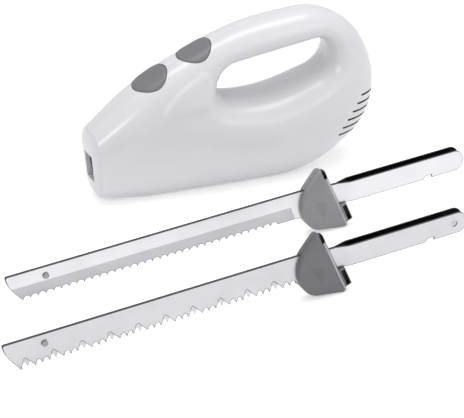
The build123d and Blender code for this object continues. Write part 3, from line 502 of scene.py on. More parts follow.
def housing_field(x, y, z, grown=0.0):
    """Zero on the skin, negative inside; x and z are flat grids and y is a column of values."""
    out = depth_inside(outer_line, x, z) + grown
    hole = -depth_inside(hole_line, x, z) + grown
    nose = plane_depth(x, z) + grown
    width = smooth_table(WIDTH_ROWS, WIDTH_COLUMNS, HALF_WIDTHS, x, z) + grown + side_fold(x, z)
    rim = smooth_table(WIDTH_ROWS, WIDTH_COLUMNS, RIM_DEPTHS, x, z)
    side = smooth_table(WIDTH_ROWS, WIDTH_COLUMNS, SIDE_ROUNDING, x, z)
    lip = smooth_table(WIDTH_ROWS, WIDTH_COLUMNS, HOLE_DEPTHS, x, z)
    flat = (
        np.maximum(1 - out / rim, 0) ** 2
        + np.maximum(1 - hole / lip, 0) ** 2
        + np.maximum(1 - nose / NOSE_ROUNDING, 0) ** 2
    )
    toward_side = np.maximum(1 - (width[..., None] - np.abs(y)) / side[..., None], 0) ** 2
    return (np.sqrt(flat[..., None] + toward_side) - 1) * FIELD_STEEPNESS


# %% Turn a field into a mesh
FIELD_LIMIT = 5.0
HOUSING_LOW = (-108, -36, -2)
HOUSING_HIGH = (112, 36, 122)
HOUSING_STEP = 0.8


def mesh_of_field(name, field, low, high, step, place=None):
    """An object, in metres, on the zero of a field sampled every step millimetres."""
    axes = [np.arange(a, b + step / 2, step) for a, b in zip(low, high)]
    x, z = np.meshgrid(axes[0], axes[2], indexing="ij")
    values = np.transpose(field(x, axes[1], z), (0, 2, 1))
    values = np.clip(values, -FIELD_LIMIT, FIELD_LIMIT)
    grid = openvdb.FloatGrid(FIELD_LIMIT)
    grid.copyFromArray(np.ascontiguousarray(values, dtype=np.float32), tolerance=0.0)
    points, quads = grid.convertToQuads(isovalue=0.0)
    points = (points * step + np.array(low)) * MM
    mesh = bpy.data.meshes.new(name)
    mesh.from_pydata(points.tolist(), [], quads.tolist())
    mesh.update()
    made = bmesh.new()
    made.from_mesh(mesh)
    bmesh.ops.remove_doubles(made, verts=made.verts, dist=1e-7)
    made.transform(place or Matrix.Identity(4))
    bmesh.ops.recalc_face_normals(made, faces=made.faces)
    bmesh.ops.smooth_vert(
        made, verts=made.verts, factor=0.5, use_axis_x=True, use_axis_y=True, use_axis_z=True
    )
    made.to_mesh(mesh)
    made.free()
    print(name, len(mesh.vertices), "points")
    return new_object(name, mesh)


housing = mesh_of_field("housing", housing_field, HOUSING_LOW, HOUSING_HIGH, HOUSING_STEP)

# %% [markdown]
# ## Cutting the openings
# Slots and wells have crisp edges that a soft field can't hold, so they are cut afterwards with
# small solids: two oval wells for the buttons, the blade slot, six vents on each side, the
# screw wells on the far side and the hole for the cord. A cutter's faces that would close a
# through opening are taken out again, so that one looks into a dark housing there. The vents
# are pockets, and their walls are painted black as shade.

# %% Cutters
RELEASE_BUTTON = {"place": (-57.8, 84.3), "slope": 29.0, "length": 26.5, "width": 29.0}
POWER_BUTTON = {"place": (-25.5, 101.3), "slope": 22.0, "length": 25.0, "width": 28.0}
BUTTON_GAP = 0.45
BUTTON_HEIGHT = 9.0
WELL_DEPTH = 14.0
ABOVE_SKIN = 14.0
SLOT_CORNERS = [(-6.65, 16.35), (6.65, 16.35), (6.65, 35.65), (-6.65, 35.65)]
SLOT_FRONT = -112.0
SLOT_REAR = -93.9
SCREW_PLACES = [(-90.5, 47), (-13, 8), (58, 12), (93, 70), (28, 101.5), (-43, 72)]
SCREW_WELL_RADIUS = 3.4
SCREW_WELL_BOTTOM = 11.0
OUTSIDE_SHELL = 45.0
VENTS = [(72.9, 28.6), (75.9, 33.4), (80.0, 38.4), (84.5, 43.4), (88.8, 48.4), (92.6, 53.6)]
VENT_HEIGHT = 1.3
VENT_REAR = 120.0
VENT_SIDES = ((-40, -4), (4, 40))
BUSH_PLACE = (84.0, 20.0)
BUSH_TURN = radians(130)
BUSH_BORE = 12.1
BUSH_REACH = (-8.0, 12.0)
# Material slots of the housing: its skin, faces to take out again, and vent pockets whose walls
# are painted black as shade.
OPEN_MARK = 1
PAINTED_SHADE_MARK = 2
HOUSING_FINISHES = (white_abs, white_abs, black_nylon_and_painted_shade)


def frame_of(place, slope):
    """A matrix, in metres, at a button: X along the knife, Z out of its top."""
    turned = Matrix.Rotation(-radians(slope), 4, "Y")
    return Matrix.Translation((place[0] * MM, 0, place[1] * MM)) @ turned


def add_prism(shape, corners, low, high, matrix, mark=0, open_ends=()):
    """A closed prism over corners in its matrix, in millimetres, with a mark on its faces."""
    bottom, top = [
        [shape.verts.new(matrix @ (Vector((x, y, h)) * MM)) for x, y in corners]
        for h in (low, high)
    ]
    for i in range(len(corners)):
        j = (i + 1) % len(corners)
        side = shape.faces.new((bottom[i], bottom[j], top[j], top[i]))
        side.material_index = mark
    for end, ring in (("low", bottom[::-1]), ("high", top)):
        face = shape.faces.new(ring)
        face.material_index = OPEN_MARK if end in open_ends else mark


def oval(length, width, count=72):
    """Points round an oval, in millimetres."""
    return [
        (length / 2 * cos(2 * np.pi * i / count), width / 2 * sin(2 * np.pi * i / count))
        for i in range(count)
    ]


cutters = bmesh.new()
for button in (RELEASE_BUTTON, POWER_BUTTON):
    add_prism(
        cutters,
        oval(button["length"] + 2 * BUTTON_GAP, button["width"] + 2 * BUTTON_GAP),
        -WELL_DEPTH, ABOVE_SKIN, frame_of(button["place"], button["slope"]),
    )
facing_x = Matrix(((0, 0, 1, 0), (1, 0, 0, 0), (0, 1, 0, 0), (0, 0, 0, 1)))
add_prism(cutters, SLOT_CORNERS, SLOT_FRONT, SLOT_REAR, facing_x, open_ends=("low", "high"))
# The vent pockets' walls are painted black as shade.
for x, z in VENTS:
    for near, far in VENT_SIDES:
        add_prism(
            cutters, [(x, near), (VENT_REAR, near), (VENT_REAR, far), (x, far)],
            z, z + VENT_HEIGHT, Matrix.Identity(4), mark=PAINTED_SHADE_MARK,
        )
facing_y = Matrix(((1, 0, 0, 0), (0, 0, 1, 0), (0, -1, 0, 0), (0, 0, 0, 1)))
well = oval(2 * SCREW_WELL_RADIUS, 2 * SCREW_WELL_RADIUS, 32)
for x, z in SCREW_PLACES:
    corners = [(a + x, b - z) for a, b in well]
    add_prism(cutters, corners, SCREW_WELL_BOTTOM, OUTSIDE_SHELL, facing_y)
bush_frame = (Matrix.Translation((BUSH_PLACE[0] * MM, 0, BUSH_PLACE[1] * MM))
              @ Matrix.Rotation(BUSH_TURN, 4, "Y"))
add_prism(cutters, oval(BUSH_BORE, BUSH_BORE, 48), *BUSH_REACH, bush_frame, open_ends=("low",))
bmesh.ops.recalc_face_normals(cutters, faces=cutters.faces)
cutter_mesh = bpy.data.meshes.new("cutters")
cutters.to_mesh(cutter_mesh)
cutters.free()
cutter = new_object("cutters", cutter_mesh)

# %% Cut, and part the two halves


def shade_smooth(mesh, sharp_over=None):
    """Smooth shading, with edges kept crisp where they turn by more than an angle."""
    mesh.polygons.foreach_set("use_smooth", [True] * len(mesh.polygons))
    if sharp_over:
        mesh.set_sharp_from_angle(angle=radians(sharp_over))


def evaluated_mesh(thing):
    """The object's final mesh, with its modifiers or its bevel, as a mesh of its own."""
    bpy.context.view_layer.update()
    ready = thing.evaluated_get(bpy.context.evaluated_depsgraph_get())
    return bpy.data.meshes.new_from_object(ready)


give_finishes(cutter_mesh, HOUSING_FINISHES)
give_finishes(housing.data, HOUSING_FINISHES)
cutting = housing.modifiers.new("openings", "BOOLEAN")
cutting.operation = "DIFFERENCE"
cutting.solver = "MANIFOLD"
cutting.object = cutter
whole = evaluated_mesh(housing)
print("cut housing:", len(whole.vertices), "points")
bpy.data.objects.remove(housing)
bpy.data.objects.remove(cutter)

GROOVE_HALF_WIDTH = 0.35
GROOVE_DEPTH = 0.22


def half_housing(name, side, node):
    """One half of the housing; side is -1 for the near one. Its edge has half of the groove."""
    shape = bmesh.new()
    shape.from_mesh(whole)
    opened = [f for f in shape.faces if f.material_index == OPEN_MARK]
    bmesh.ops.delete(shape, geom=opened, context="FACES")
    for y in (GROOVE_HALF_WIDTH, 0.0):
        bmesh.ops.bisect_plane(
            shape, geom=shape.verts[:] + shape.edges[:] + shape.faces[:], dist=1e-7,
            plane_co=(0, side * y * MM, 0), plane_no=(0, side, 0),
        )
    gone = [f for f in shape.faces if f.calc_center_median().y * side < 0]
    bmesh.ops.delete(shape, geom=gone, context="FACES")
    shape.normal_update()
    edge = [v for v in shape.verts if abs(v.co.y) < 1e-6]
    moves = [(v, Vector((v.normal.x, 0, v.normal.z))) for v in edge]
    for v, outward in moves:
        if outward.length > 0.2:
            v.co -= outward.normalized() * GROOVE_DEPTH * MM
    mesh = bpy.data.meshes.new(name)
    shape.to_mesh(mesh)
    shape.free()
    give_finishes(mesh, HOUSING_FINISHES)
    shade_smooth(mesh, sharp_over=38)
    half = new_object(name, mesh)
    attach(half, "housing")
    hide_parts(node)
    return half


near_half = half_housing("housing_near_half", -1, "left_shell")
far_half = half_housing("housing_far_half", 1, "right_shell")
print("halves:", len(near_half.data.polygons), len(far_half.data.polygons), "faces")

# %% [markdown]
# ## Push buttons
# Each button is a grey cap that carries on the housing's curve, a little proud of it and
# slightly dished for the finger. Cutting the same field with an oval keeps that curve exactly,
# and a small rounding on every edge catches the light as a moulded edge does.

# %% Button caps
BUTTON_PROUD = 0.35
BUTTON_DISH = 0.5
BUTTON_EDGE = 1.1
# Near the skin the housing's field falls by one over this many millimetres.
FIELD_TO_MM = 1.7
CAP_STEP = 0.5
CAP_ROOM = 22.0
ROOM_ABOVE_CAP = 16.0
ROOM_BELOW_CAP = 20.0


def button_cap(name, button, body, node):
    """An oval cap with the housing's curve, a shallow dish and rounded edges."""
    frame_in = np.array(frame_of(button["place"], button["slope"]).inverted())

    def field(x, y, z):
        x, z = x[..., None], z[..., None]
        along = frame_in[0][0] * x + frame_in[0][2] * z + frame_in[0][3] / MM
        height = frame_in[2][0] * x + frame_in[2][2] * z + frame_in[2][3] / MM
        reach = np.sqrt((along / button["length"] * 2) ** 2 + (y / button["width"] * 2) ** 2)
        inside = (1 - reach) * button["length"] / 2
        depth = -housing_field(x[..., 0], y, z[..., 0], BUTTON_PROUD) * FIELD_TO_MM
        depth = depth - BUTTON_DISH * np.maximum(0, 1 - (reach / 0.9) ** 2)
        above_bottom = height + BUTTON_HEIGHT
        edges = sum(np.maximum(0, 1 - d / BUTTON_EDGE) ** 2 for d in (inside, depth, above_bottom))
        return np.sqrt(edges) - 1

    px, pz = button["place"]
    low = (px - CAP_ROOM, -ROOM_ABOVE_CAP, pz - ROOM_BELOW_CAP)
    high = (px + CAP_ROOM, ROOM_ABOVE_CAP, pz + ROOM_ABOVE_CAP)
    cap = mesh_of_field(name, field, low, high, CAP_STEP)
    give_finishes(cap.data, [grey_abs])
    shade_smooth(cap.data)
    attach(cap, body)
    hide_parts(node)


button_cap("release_button_cap", RELEASE_BUTTON, "release_button", "release_button")
button_cap("power_button_cap", POWER_BUTTON, "power_button", "power_button")

# %% [markdown]
# ## Springs under the buttons
# A coil spring is wound from drawn wire, one turn beside the next. It stays on its seat while
# its button comes down, so it rides on the housing. Each one here is a wire swept along a
# helix.

# %% Coil springs
# A foot is the middle of a seat, along its button's plane and out of it.
SPRINGS = {
    "release_spring": {
        "place": (-58.0, 86.0), "slope": 29.0, "foot": (-7.0, -25.0), "height": 12.0,
        "radius": 4.2, "wire": 0.8, "turns": 5, "joint": "release_press", "travel": 4.0,
    },
    "power_spring": {
        "place": (-25.5, 101.5), "slope": 22.0, "foot": (-13.0, -17.0), "height": 7.0,
        "radius": 3.4, "wire": 0.7, "turns": 4, "joint": "power_press", "travel": 3.0,
    },
}
POINTS_PER_TURN = 24


def coil_spring(node):
    """A coil on its seat, which keeps its foot when its button is pressed."""
    values = SPRINGS[node]
    stem = frame_of(values["place"], values["slope"])
    x, foot = values["foot"]
    wire_radius = values["wire"] / 2
    curve = bpy.data.curves.new(node + "_wire", "CURVE")
    curve.dimensions = "3D"
    curve.bevel_depth = wire_radius * MM
    curve.bevel_resolution = 3
    curve.use_fill_caps = True
    line = curve.splines.new("POLY")
    steps = values["turns"] * POINTS_PER_TURN
    line.points.add(steps)
    rise = values["height"] - values["wire"]
    for i, point in enumerate(line.points):
        angle = radians(360 / POINTS_PER_TURN * i)
        local = Vector((x + values["radius"] * cos(angle), values["radius"] * sin(angle),
                        foot + wire_radius + rise * i / steps))
        point.co = (*(stem @ (local * MM)), 1)
    swept = new_object(node + "_wire", curve)
    mesh = evaluated_mesh(swept)
    bpy.data.objects.remove(swept)
    give_finishes(mesh, [spring_steel])
    shade_smooth(mesh)
    coil = new_object(node + "_coil", mesh)
    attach(coil, "housing")
    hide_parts(node)
    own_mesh(coil)
    print(coil.name, len(mesh.vertices), "points")


for node in SPRINGS:
    coil_spring(node)

# %% [markdown]
# ## Blades
# A blade of such a knife starts as a strip of stainless steel 1 mm thick. A press stamps its
# outline with all its teeth, which leaves dull edges, here painted dark grey as shade, then the
# bread blades are ground to a long bevel, and the tang is bent outwards so that each tang meets
# a driving bar of its own. The mesh is made in the same order: the outline, its thickness, a
# narrow border painted dark as shade round the outline, the bevel, the bend.

# %% Where the two pairs lie
SETS = {
    "bread": {"origin": (-206.709, -118.162, 19.2771), "pitch": 3.5953, "reach": 214.0},
    "frozen": {"origin": (-237.759, -201.265, 19.2453), "pitch": 3.7454, "reach": 204.5},
}
BLADE_HEIGHT = 20.0
BLADE_THICKNESS = 1.0
BLADE_INNER = 0.05
TANG_INNER = 2.8
TANG_STEP = 24.0
TANG_LENGTH = 102.8
TANG_DROP = 2.0
TANG_HEIGHT = 14.8
BEND_START = 30.0
BEND_LENGTH = 9.0
SPINE_CORNER = 1.4
TANG_CORNER = 6.5
NOTCH_DEPTH = 2.2
NOTCH_FROM_END = (25.0, 30.0, 31.1)
TOOTH_FRONT = 10.9
# The front edge curves from the spine to the first tooth, led by one point.
FRONT_LED_BY = (0.65, -9.3)


def blade_frame(kind):
    """A matrix, in metres, of a pair: X along its spine, Y up the blade, Z to the near side."""
    values = SETS[kind]
    pitch = radians(values["pitch"])
    along = Vector((cos(BLADE_YAW) * cos(pitch), sin(BLADE_YAW) * cos(pitch), sin(pitch)))
    near = Vector((sin(BLADE_YAW), -cos(BLADE_YAW), 0))
    turned = Matrix((along, near.cross(along), near)).transposed().to_4x4()
    return Matrix.Translation(Vector(values["origin"]) * MM) @ turned


def arc(centre, radius, start, end, steps):
    """Points on an arc, with its angles in degrees."""
    angles = [radians(start + (end - start) * i / steps) for i in range(steps + 1)]
    return [(centre[0] + radius * cos(a), centre[1] + radius * sin(a)) for a in angles]


# %% Teeth and outline
DOUBLED_WITHIN = 0.02
SCALLOPS = 34
SCALLOP_PITCH = 5.5
SCALLOP_RADIUS = 2.72
SCALLOP_SINK = 0.26
GULLET_GROUPS = 10
GULLET_PITCH = 19.4
DEEP_GULLET = [(0, 0), (1.6, 4.6), (1.9, 6.0), (2.9, 7.0), (3.9, 6.6), (4.6, 5.6), (9.7, 0)]
SMALL_GULLET = [(0.1, 0), (0.7, 1.7), (1.4, 3.0), (2.42, 3.4), (3.4, 3.0), (4.15, 1.7), (4.85, 0)]
SMALL_GULLETS_AT = (9.7, 14.55)


def scalloped_edge():
    """Round hollows side by side, 2.5 mm deep, from the front to the rear."""
    points = []
    for i in range(SCALLOPS):
        middle = TOOTH_FRONT + SCALLOP_PITCH * i + SCALLOP_PITCH / 2
        points += arc((middle, -BLADE_HEIGHT - SCALLOP_SINK), SCALLOP_RADIUS, 174, 6, 10)
    return points


def gulleted_edge(turn):
    """Groups of one deep gullet and two small ones; the far blade has them turned round."""
    group = list(DEEP_GULLET)
    for small in SMALL_GULLETS_AT:
        group += [(small + x, y) for x, y in SMALL_GULLET]
    points = []
    for i in range(GULLET_GROUPS):
        start = TOOTH_FRONT + GULLET_PITCH * i
        first = start if turn > 0 else start + GULLET_PITCH
        placed = [(first + turn * x, y - BLADE_HEIGHT) for x, y in group]
        points += placed if turn > 0 else placed[::-1]
    return points


def blade_outline(kind, turn):
    """The side view of one blade with its tang, in millimetres."""
    step = SETS[kind]["reach"] + TANG_STEP
    end, low = step + TANG_LENGTH, -TANG_DROP - TANG_HEIGHT
    notch_rear, notch_front, ramp = [end - back for back in NOTCH_FROM_END]
    points = arc((SPINE_CORNER, -SPINE_CORNER), SPINE_CORNER, 180, 90, 4)
    points += [(step, 0), (step + 2, -TANG_DROP)]
    corner = end - TANG_CORNER
    points += arc((corner, -TANG_DROP - TANG_CORNER), TANG_CORNER, 90, 0, 10)
    points += arc((corner, low + TANG_CORNER), TANG_CORNER, 0, -90, 10)
    points += [(notch_rear, low), (notch_rear, low + NOTCH_DEPTH),
               (notch_front, low + NOTCH_DEPTH), (ramp, low)]
    points += [(step + 2, low), (step, -BLADE_HEIGHT)]
    teeth = scalloped_edge() if kind == "bread" else gulleted_edge(turn)
    points += teeth[::-1]
    for i in range(1, 12):
        t = i / 12
        a, b, c = (1 - t) ** 2, 2 * t * (1 - t), t * t
        points.append((a * TOOTH_FRONT + b * FRONT_LED_BY[0],
                       -a * BLADE_HEIGHT + b * FRONT_LED_BY[1] - c * SPINE_CORNER))
    # Two points on one spot would leave a direction with no length, so the second goes.
    return [
        p for i, p in enumerate(points)
        if hypot(p[0] - points[i - 1][0], p[1] - points[i - 1][1]) > DOUBLED_WITHIN
    ]


# %% Blade meshes
EDGE_BORDER = 0.34
BORDER_PROUD = 0.02
BEVEL_TOP = -9.9
BEVEL_EDGE_DROP = 0.65
BEVEL_BEFORE_GUARD = 5.8
BEVEL_SLANT = Vector((1, 0.28, 0)).normalized()
BEVEL_RUN_OUT = 0.6
RIVET_PLACE = (28.0, -6.6)
RIVET_BORE = 1.55
RIVET_SLIDE = 6.0
HANG_HOLE_FROM_END = 9.3
HANG_HOLE_RADIUS = 2.3
INNER_DARK_DOWN_TO = -8.0
FLAT, BEVEL, EDGE, INNER = 0, 1, 2, 3


def inset_line(points, amount):
    """Each point moved inwards, at most half as far again at a sharp corner."""
    line = np.array(points)
    before = line - np.roll(line, 1, 0)
    after = np.roll(line, -1, 0) - line
    before /= np.linalg.norm(before, axis=1)[:, None]
    after /= np.linalg.norm(after, axis=1)[:, None]
    inward = np.stack([before[:, 1] + after[:, 1], -before[:, 0] - after[:, 0]], 1)
    lengths = np.maximum(np.linalg.norm(inward, axis=1)[:, None], 1e-6)
    reach = np.minimum(2 / lengths, 1.5)
    return line + inward / lengths * reach * amount


def pierced_plate(shape, loops, low, high):
    """A flat plate over the first loop with the others as holes, in millimetres."""
    flat = [[Vector((x, y, 0)) for x, y in loop] for loop in loops]
    triangles = tessellate_polygon(flat)
    rings = []
    for z in (low, high):
        rings.append([shape.verts.new((x, y, z)) for loop in loops for x, y in loop])
        for a, b, c in triangles:
            shape.faces.new((rings[-1][a], rings[-1][b], rings[-1][c])).material_index = FLAT
    first = 0
    for loop in loops:
        for i in range(len(loop)):
            a, b = first + i, first + (i + 1) % len(loop)
            wall = shape.faces.new((rings[0][a], rings[0][b], rings[1][b], rings[1][a]))
            wall.material_index = EDGE
        first += len(loop)


def ground_blade(kind, side):
    """One blade; side is 1 for the near one and -1 for the far one."""
    reach = SETS[kind]["reach"]
    points = blade_outline(kind, side)
    x, y = RIVET_PLACE
    slide = 0 if side > 0 else RIVET_SLIDE
    loops = [points, (arc((x + slide, y), RIVET_BORE, -90, 90, 10)
                      + arc((x - slide, y), RIVET_BORE, 91, 269, 10))]
    if kind == "frozen" and side > 0:
        hole = (reach + TANG_STEP + TANG_LENGTH - HANG_HOLE_FROM_END,
                -TANG_DROP - TANG_HEIGHT / 2)
        loops.append(arc(hole, HANG_HOLE_RADIUS, 0, 345, 23))
    shape = bmesh.new()
    outer = BLADE_INNER + BLADE_THICKNESS
    pierced_plate(shape, loops, BLADE_INNER, outer)
    bmesh.ops.recalc_face_normals(shape, faces=shape.faces)
    # A thin border round the outline on the outer face is painted dark as shade, drawing the
    # teeth's outline.
    rim = [[shape.verts.new((x, y, outer + BORDER_PROUD)) for x, y in line]
           for line in (points, inset_line(points, EDGE_BORDER))]
    for i in range(len(points)):
        j = (i + 1) % len(points)
        shape.faces.new((rim[0][i], rim[0][j], rim[1][j], rim[1][i])).material_index = EDGE
    bend_start = reach + BEND_START
    bevel_end = Vector((reach - BEVEL_BEFORE_GUARD, BEVEL_TOP, 0))
    cuts = [((bend_start, 0, 0), (1, 0, 0)), ((bend_start + BEND_LENGTH, 0, 0), (1, 0, 0)),
            ((0, INNER_DARK_DOWN_TO, 0), (0, 1, 0))]
    if kind == "bread":
        cuts += [(bevel_end, (0, 1, 0)), (bevel_end, BEVEL_SLANT),
                 (bevel_end + BEVEL_SLANT * BEVEL_RUN_OUT, BEVEL_SLANT)]
    for place, normal in cuts:
        bmesh.ops.bisect_plane(
            shape, geom=shape.verts[:] + shape.edges[:] + shape.faces[:], dist=1e-5,
            plane_co=place, plane_no=normal,
        )
    if kind == "bread":
        for v in shape.verts:
            ahead = (v.co - bevel_end).dot(BEVEL_SLANT) < 0.01
            if v.co.z > 0.6 and v.co.y < BEVEL_TOP and ahead:
                v.co.z -= BEVEL_EDGE_DROP * (BEVEL_TOP - v.co.y) / (BEVEL_TOP + BLADE_HEIGHT)
        # Bevel faces get the bevel steel, whose darker colour is painted shade.
        for face in shape.faces:
            centre = face.calc_center_median()
            ahead = (centre - bevel_end).dot(BEVEL_SLANT) < 0
            if face.material_index == FLAT and centre.z > 0.2 and centre.y < BEVEL_TOP and ahead:
                face.material_index = BEVEL
    # Tang faces that face the other blade behind the bend are painted near black as shade.
    for face in shape.faces:
        centre = face.calc_center_median()
        behind_bend = centre.x > bend_start and centre.y > INNER_DARK_DOWN_TO
        if centre.z < BLADE_INNER + 0.01 and behind_bend:
            face.material_index = INNER
    for v in shape.verts:
        bend = min(max((v.co.x - bend_start) / BEND_LENGTH, 0), 1)
        v.co.z = side * (v.co.z + bend * (TANG_INNER - BLADE_INNER))
    shape.transform(blade_frame(kind) @ Matrix.Scale(MM, 4))
    if side < 0:
        bmesh.ops.reverse_faces(shape, faces=shape.faces)
    side_name = "near" if side > 0 else "far"
    mesh = bpy.data.meshes.new(f"{kind}_blade_{side_name}_ground")
    shape.to_mesh(mesh)
    shape.free()
    flat_steel = blade_steel if kind == "bread" else coarse_blade_steel
    give_finishes(mesh, [flat_steel, bevel_steel_painted_shade, cut_edge_steel_painted_shade, inner_face_painted_shade_steel])
    blade = new_object(mesh.name, mesh)
    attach(blade, f"{kind}_set" if side > 0 else f"{kind}_far_half")
    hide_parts(f"{kind}_blade_{side_name}")
    return blade


for kind in SETS:
    for side in (1, -1):
        blade = ground_blade(kind, side)
        print(blade.name, len(blade.data.polygons), "faces")

# A rivet is turned down at its rim; those rim faces are painted dark as shade, so only the middle
# of its head is bright.
for kind in SETS:
    rivet = nodes[f"{kind}_rivet"]
    give_finishes(rivet.data, [rivet_steel, cut_edge_steel_painted_shade])
    facing = blade_frame(kind).to_3x3() @ Vector((0, 0, 1))
    for face in rivet.data.polygons:
        face.material_index = 0 if abs(face.normal.dot(facing)) > 0.9 else 1

# %% [markdown]
# ## Finger guards
# Each guard half is moulded in polypropylene round its blade. Its face swells a little, with a
# shallow thumb hollow in the middle. Along the rear runs a sloping border with a fine rib,
# with a slot near its top and an open catch box near its foot. All of this is one field again:
# the height of the face over the outline, with the hollows taken off.

# %% Guard field
GUARD_LINE = rounded([(19, 15.5), (-6, -11.5), (9, -31), (37.4, -35.5)], [4, 22, 14, 2.5], 0.5)
THUMB_LINE = rounded([(7.6, -8.4), (20.6, -11.0), (16.8, -26.5)], [2.2, 4.0, 2.0], 0.4)
GUARD_INNER = 0.15
GUARD_FACE = 5.3
GUARD_ROUNDING = 1.5
SWELL = 0.5
SWELL_REACH = 7.0
THUMB_DEPTH = 1.5
THUMB_SLOPE = 3.6
THUMB_RIM = 0.45
THUMB_RIM_PLACE = -0.6
THUMB_RIM_WIDTH = 1.1
THUMB_RIM_FADES = (14.0, 6.0)
BORDER_FROM = -3.6
BORDER_FACE = 2.6
BORDER_SLOPE = 0.55
RIB_PLACE = -1.7
RIB_HEIGHT = 0.6
RIB_WIDTH = 0.45
CATCH_ROUNDING = 0.8
# The rear edge starts at the guard's peak and runs down and back.
REAR_CORNER = (19.0, 15.5)
REAR_DIRECTION = np.array([18.4, -51.0]) / np.hypot(18.4, 51.0)
SLOT_BOX = {"along": (3.2, 9.6), "out": (-3.4, -0.9), "bottom": 0.9}
CATCH_BOX = {"along": (35.2, 49.6), "out": (-1.0, 3.8), "top": 4.5}
CATCH_HOLE = {"along": (36.4, 48.4), "out": (0.1, 2.8), "bottom": 1.2}


def rear_place(x, z):
    """Distance along the rear edge from its top, and out of it."""
    rx, rz = x - REAR_CORNER[0], z - REAR_CORNER[1]
    along = rx * REAR_DIRECTION[0] + rz * REAR_DIRECTION[1]
    out = -rx * REAR_DIRECTION[1] + rz * REAR_DIRECTION[0]
    return along, out


def box_depth(along, out, box):
    """Distance inside a box of the rear edge's frame, in millimetres."""
    return np.minimum.reduce([
        along - box["along"][0], box["along"][1] - along, out - box["out"][0], box["out"][1] - out,
    ])


def rounded_meet(first, second, radius):
    """Negative inside two faces that meet in a rounding, from the depths behind each."""
    bent = np.maximum(1 - first / radius, 0) ** 2 + np.maximum(1 - second / radius, 0) ** 2
    return np.sqrt(bent) * radius - radius


def guard_field(x, y, z):
    """Zero on the skin of a guard half; x and z from the guard's front, y out of the blade."""
    edge = depth_inside(GUARD_LINE, x, z)
    along, out = rear_place(x, z)
    swell = SWELL * (1 - np.exp(-np.maximum(edge, 0) / SWELL_REACH))
    face = GUARD_FACE - SWELL + swell
    thumb_depth = depth_inside(THUMB_LINE, x, z)
    thumb = np.clip(thumb_depth / THUMB_SLOPE, 0, 1)
    face = face - THUMB_DEPTH * thumb * thumb * (3 - 2 * thumb)
    rim_fade = np.clip((THUMB_RIM_FADES[0] - x) / THUMB_RIM_FADES[1], 0, 1)
    rim_place = (thumb_depth - THUMB_RIM_PLACE) / THUMB_RIM_WIDTH
    face = face + THUMB_RIM * np.exp(-(rim_place ** 2)) * rim_fade
    rib = RIB_HEIGHT * np.exp(-((out - RIB_PLACE) / RIB_WIDTH) ** 2)
    border = BORDER_FACE - BORDER_SLOPE * out + rib
    face = np.where(out > BORDER_FROM, border, face)
    body = rounded_meet(edge[..., None], face[..., None] - y, GUARD_ROUNDING)
    catch_depth = box_depth(along, out, CATCH_BOX)[..., None]
    catch = rounded_meet(catch_depth, CATCH_BOX["top"] - y, CATCH_ROUNDING)
    solid = np.minimum(body, catch)
    for box in (SLOT_BOX, CATCH_HOLE):
        hole = np.minimum(box_depth(along, out, box)[..., None], y - box["bottom"])
        solid = np.maximum(solid, hole)
    return np.maximum(solid, GUARD_INNER - y)


# %% Guard halves
GUARD_LOW = (-3, -0.2, -38)
GUARD_HIGH = (43, 6.2, 18)
GUARD_STEP = 0.35
GUARD_FINISHES = {"bread": guard_plastic, "frozen": dark_guard_plastic}
# Slot 1 paints the walls of the slot and the catch hole black as shade.
PAINTED_SHADE_INDEX = 1
ON_THE_BORDER = 2
# The band of the rear border that is glossier and painted paler as highlight.
POLISHED_AND_PAINTED_LIGHT_BAND = (-2.5, -1.0)
POLISHED_AND_PAINTED_LIGHT_OVER = 2.5
DARK_MARGIN = 0.25
DARK_BELOW = 4.3


def guard_half(kind, side):
    """One guard half on its blade; side is 1 for the near one and -1 for the far one."""
    reach = SETS[kind]["reach"]
    swap = Matrix(((1, 0, 0, reach * MM), (0, 0, 1, 0), (0, side, 0, 0), (0, 0, 0, 1)))
    place = blade_frame(kind) @ swap
    back = place.inverted()
    side_name = "near" if side > 0 else "far"
    name = f"{kind}_guard_{side_name}_moulded"
    half = mesh_of_field(name, guard_field, GUARD_LOW, GUARD_HIGH, GUARD_STEP, place)
    give_finishes(half.data, [GUARD_FINISHES[kind], black_nylon_and_painted_shade, border_plastic_painted_light])
    for face in half.data.polygons:
        x, y, z = (back @ face.center) / MM
        along, out = rear_place(x, z)
        # Faces on the rear border get the glossier plastic, painted paler as highlight.
        if POLISHED_AND_PAINTED_LIGHT_BAND[0] < out < POLISHED_AND_PAINTED_LIGHT_BAND[1] and y > POLISHED_AND_PAINTED_LIGHT_OVER:
            face.material_index = ON_THE_BORDER
        # Faces inside the slot and the catch hole are painted black as shade.
        for box in (SLOT_BOX, CATCH_HOLE):
            within = box_depth(along, out, box) > -DARK_MARGIN
            if within and box["bottom"] - 0.3 < y < DARK_BELOW:
                face.material_index = PAINTED_SHADE_INDEX
    shade_smooth(half.data, sharp_over=50)
    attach(half, f"{kind}_set" if side > 0 else f"{kind}_far_half")
    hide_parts(f"{kind}_guard_{side_name}")


for kind in SETS:
    for side in (1, -1):
        guard_half(kind, side)

# %% [markdown]
# ## Floor and light
# The picture has a white ground and soft light from all sides, with a broad lamp high on the
# left that draws the long highlight along the handle. A white card under the knife would need
# a lot of lamp light to look pure white, so the floor glows a little for the camera and for
# reflections only, and keeps the knife's shadow.

# %% Floor
BELOW_BASE = 0.0002
FLOOR_GLOW = 0.42

floor_mesh = bpy.data.meshes.new("floor")
shape = bmesh.new()
bmesh.ops.create_grid(shape, x_segments=8, y_segments=8, size=6.0)
shape.to_mesh(floor_mesh)
shape.free()
floor = new_object("floor", floor_mesh)
floor.location.z = -BELOW_BASE

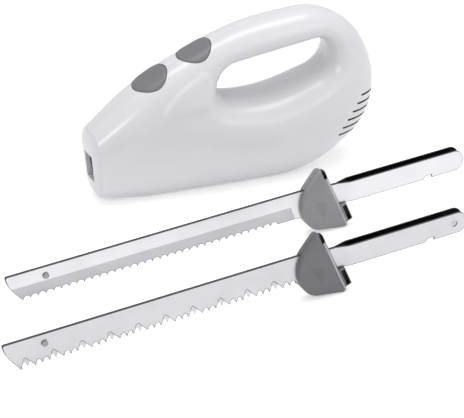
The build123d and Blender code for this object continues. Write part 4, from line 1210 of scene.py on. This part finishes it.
floor_card = bpy.data.materials.new("white_matt_card")
tree = empty_tree(floor_card)
card = add_node(tree, "ShaderNodeBsdfDiffuse", {"Color": linear("#F4F4F4")})
ray = add_node(tree, "ShaderNodeLightPath")
seen = add_node(tree, "ShaderNodeMath", {
    0: ray.outputs["Is Camera Ray"], 1: ray.outputs["Is Glossy Ray"],
}, operation="MAXIMUM")
glow_strength = add_node(
    tree, "ShaderNodeMath", {0: seen.outputs[0], 1: FLOOR_GLOW}, operation="MULTIPLY"
)
glow = add_node(tree, "ShaderNodeEmission", {
    "Color": linear("#FFFFFF"), "Strength": glow_strength.outputs[0],
})
both = add_node(tree, "ShaderNodeAddShader", {0: card.outputs[0], 1: glow.outputs[0]})
add_node(tree, "ShaderNodeOutputMaterial", {"Surface": both.outputs[0]})
floor_mesh.materials.append(floor_card)

# %% Lamps and world
WORLD_LIGHT = 0.53
WORLD_SEEN = 1.0


def soft_lamp(name, place, target, width, height, power):
    """A rectangular lamp at place that faces target, with its power in watts."""
    lamp_data = bpy.data.lights.new(name, "AREA")
    lamp_data.shape = "RECTANGLE"
    lamp_data.size = width
    lamp_data.size_y = height
    lamp_data.energy = power
    lamp = new_object(name, lamp_data)
    lamp.location = place
    lamp.rotation_euler = (Vector(target) - Vector(place)).to_track_quat("-Z", "Y").to_euler()


middle = (-0.05, -0.08, 0.04)
soft_lamp("softbox_above", (0.05, 0.05, 1.25), (0.0, -0.05, 0.05), 1.3, 0.45, 7.5)
soft_lamp("lamp_front_left", (-0.85, -0.85, 0.75), middle, 0.22, 0.22, 2)
soft_lamp("fill_front_right", (0.7, -1.2, 0.6), middle, 1.0, 0.8, 3.4)

world = bpy.data.worlds.new("studio")
tree = empty_tree(world)
ray = add_node(tree, "ShaderNodeLightPath")
white_seen = add_node(tree, "ShaderNodeMath", {
    0: ray.outputs["Is Camera Ray"], 1: ray.outputs["Is Transmission Ray"],
}, operation="MAXIMUM")
strength = add_node(tree, "ShaderNodeMapRange", {
    "Value": white_seen.outputs[0], "To Min": WORLD_LIGHT, "To Max": WORLD_SEEN,
})
sky = add_node(tree, "ShaderNodeBackground", {
    "Color": linear("#FFFFFF"), "Strength": strength.outputs["Result"],
})
add_node(tree, "ShaderNodeOutputWorld", {"Surface": sky.outputs[0]})
bpy.context.scene.world = world
bpy.context.scene.view_settings.view_transform = "Standard"
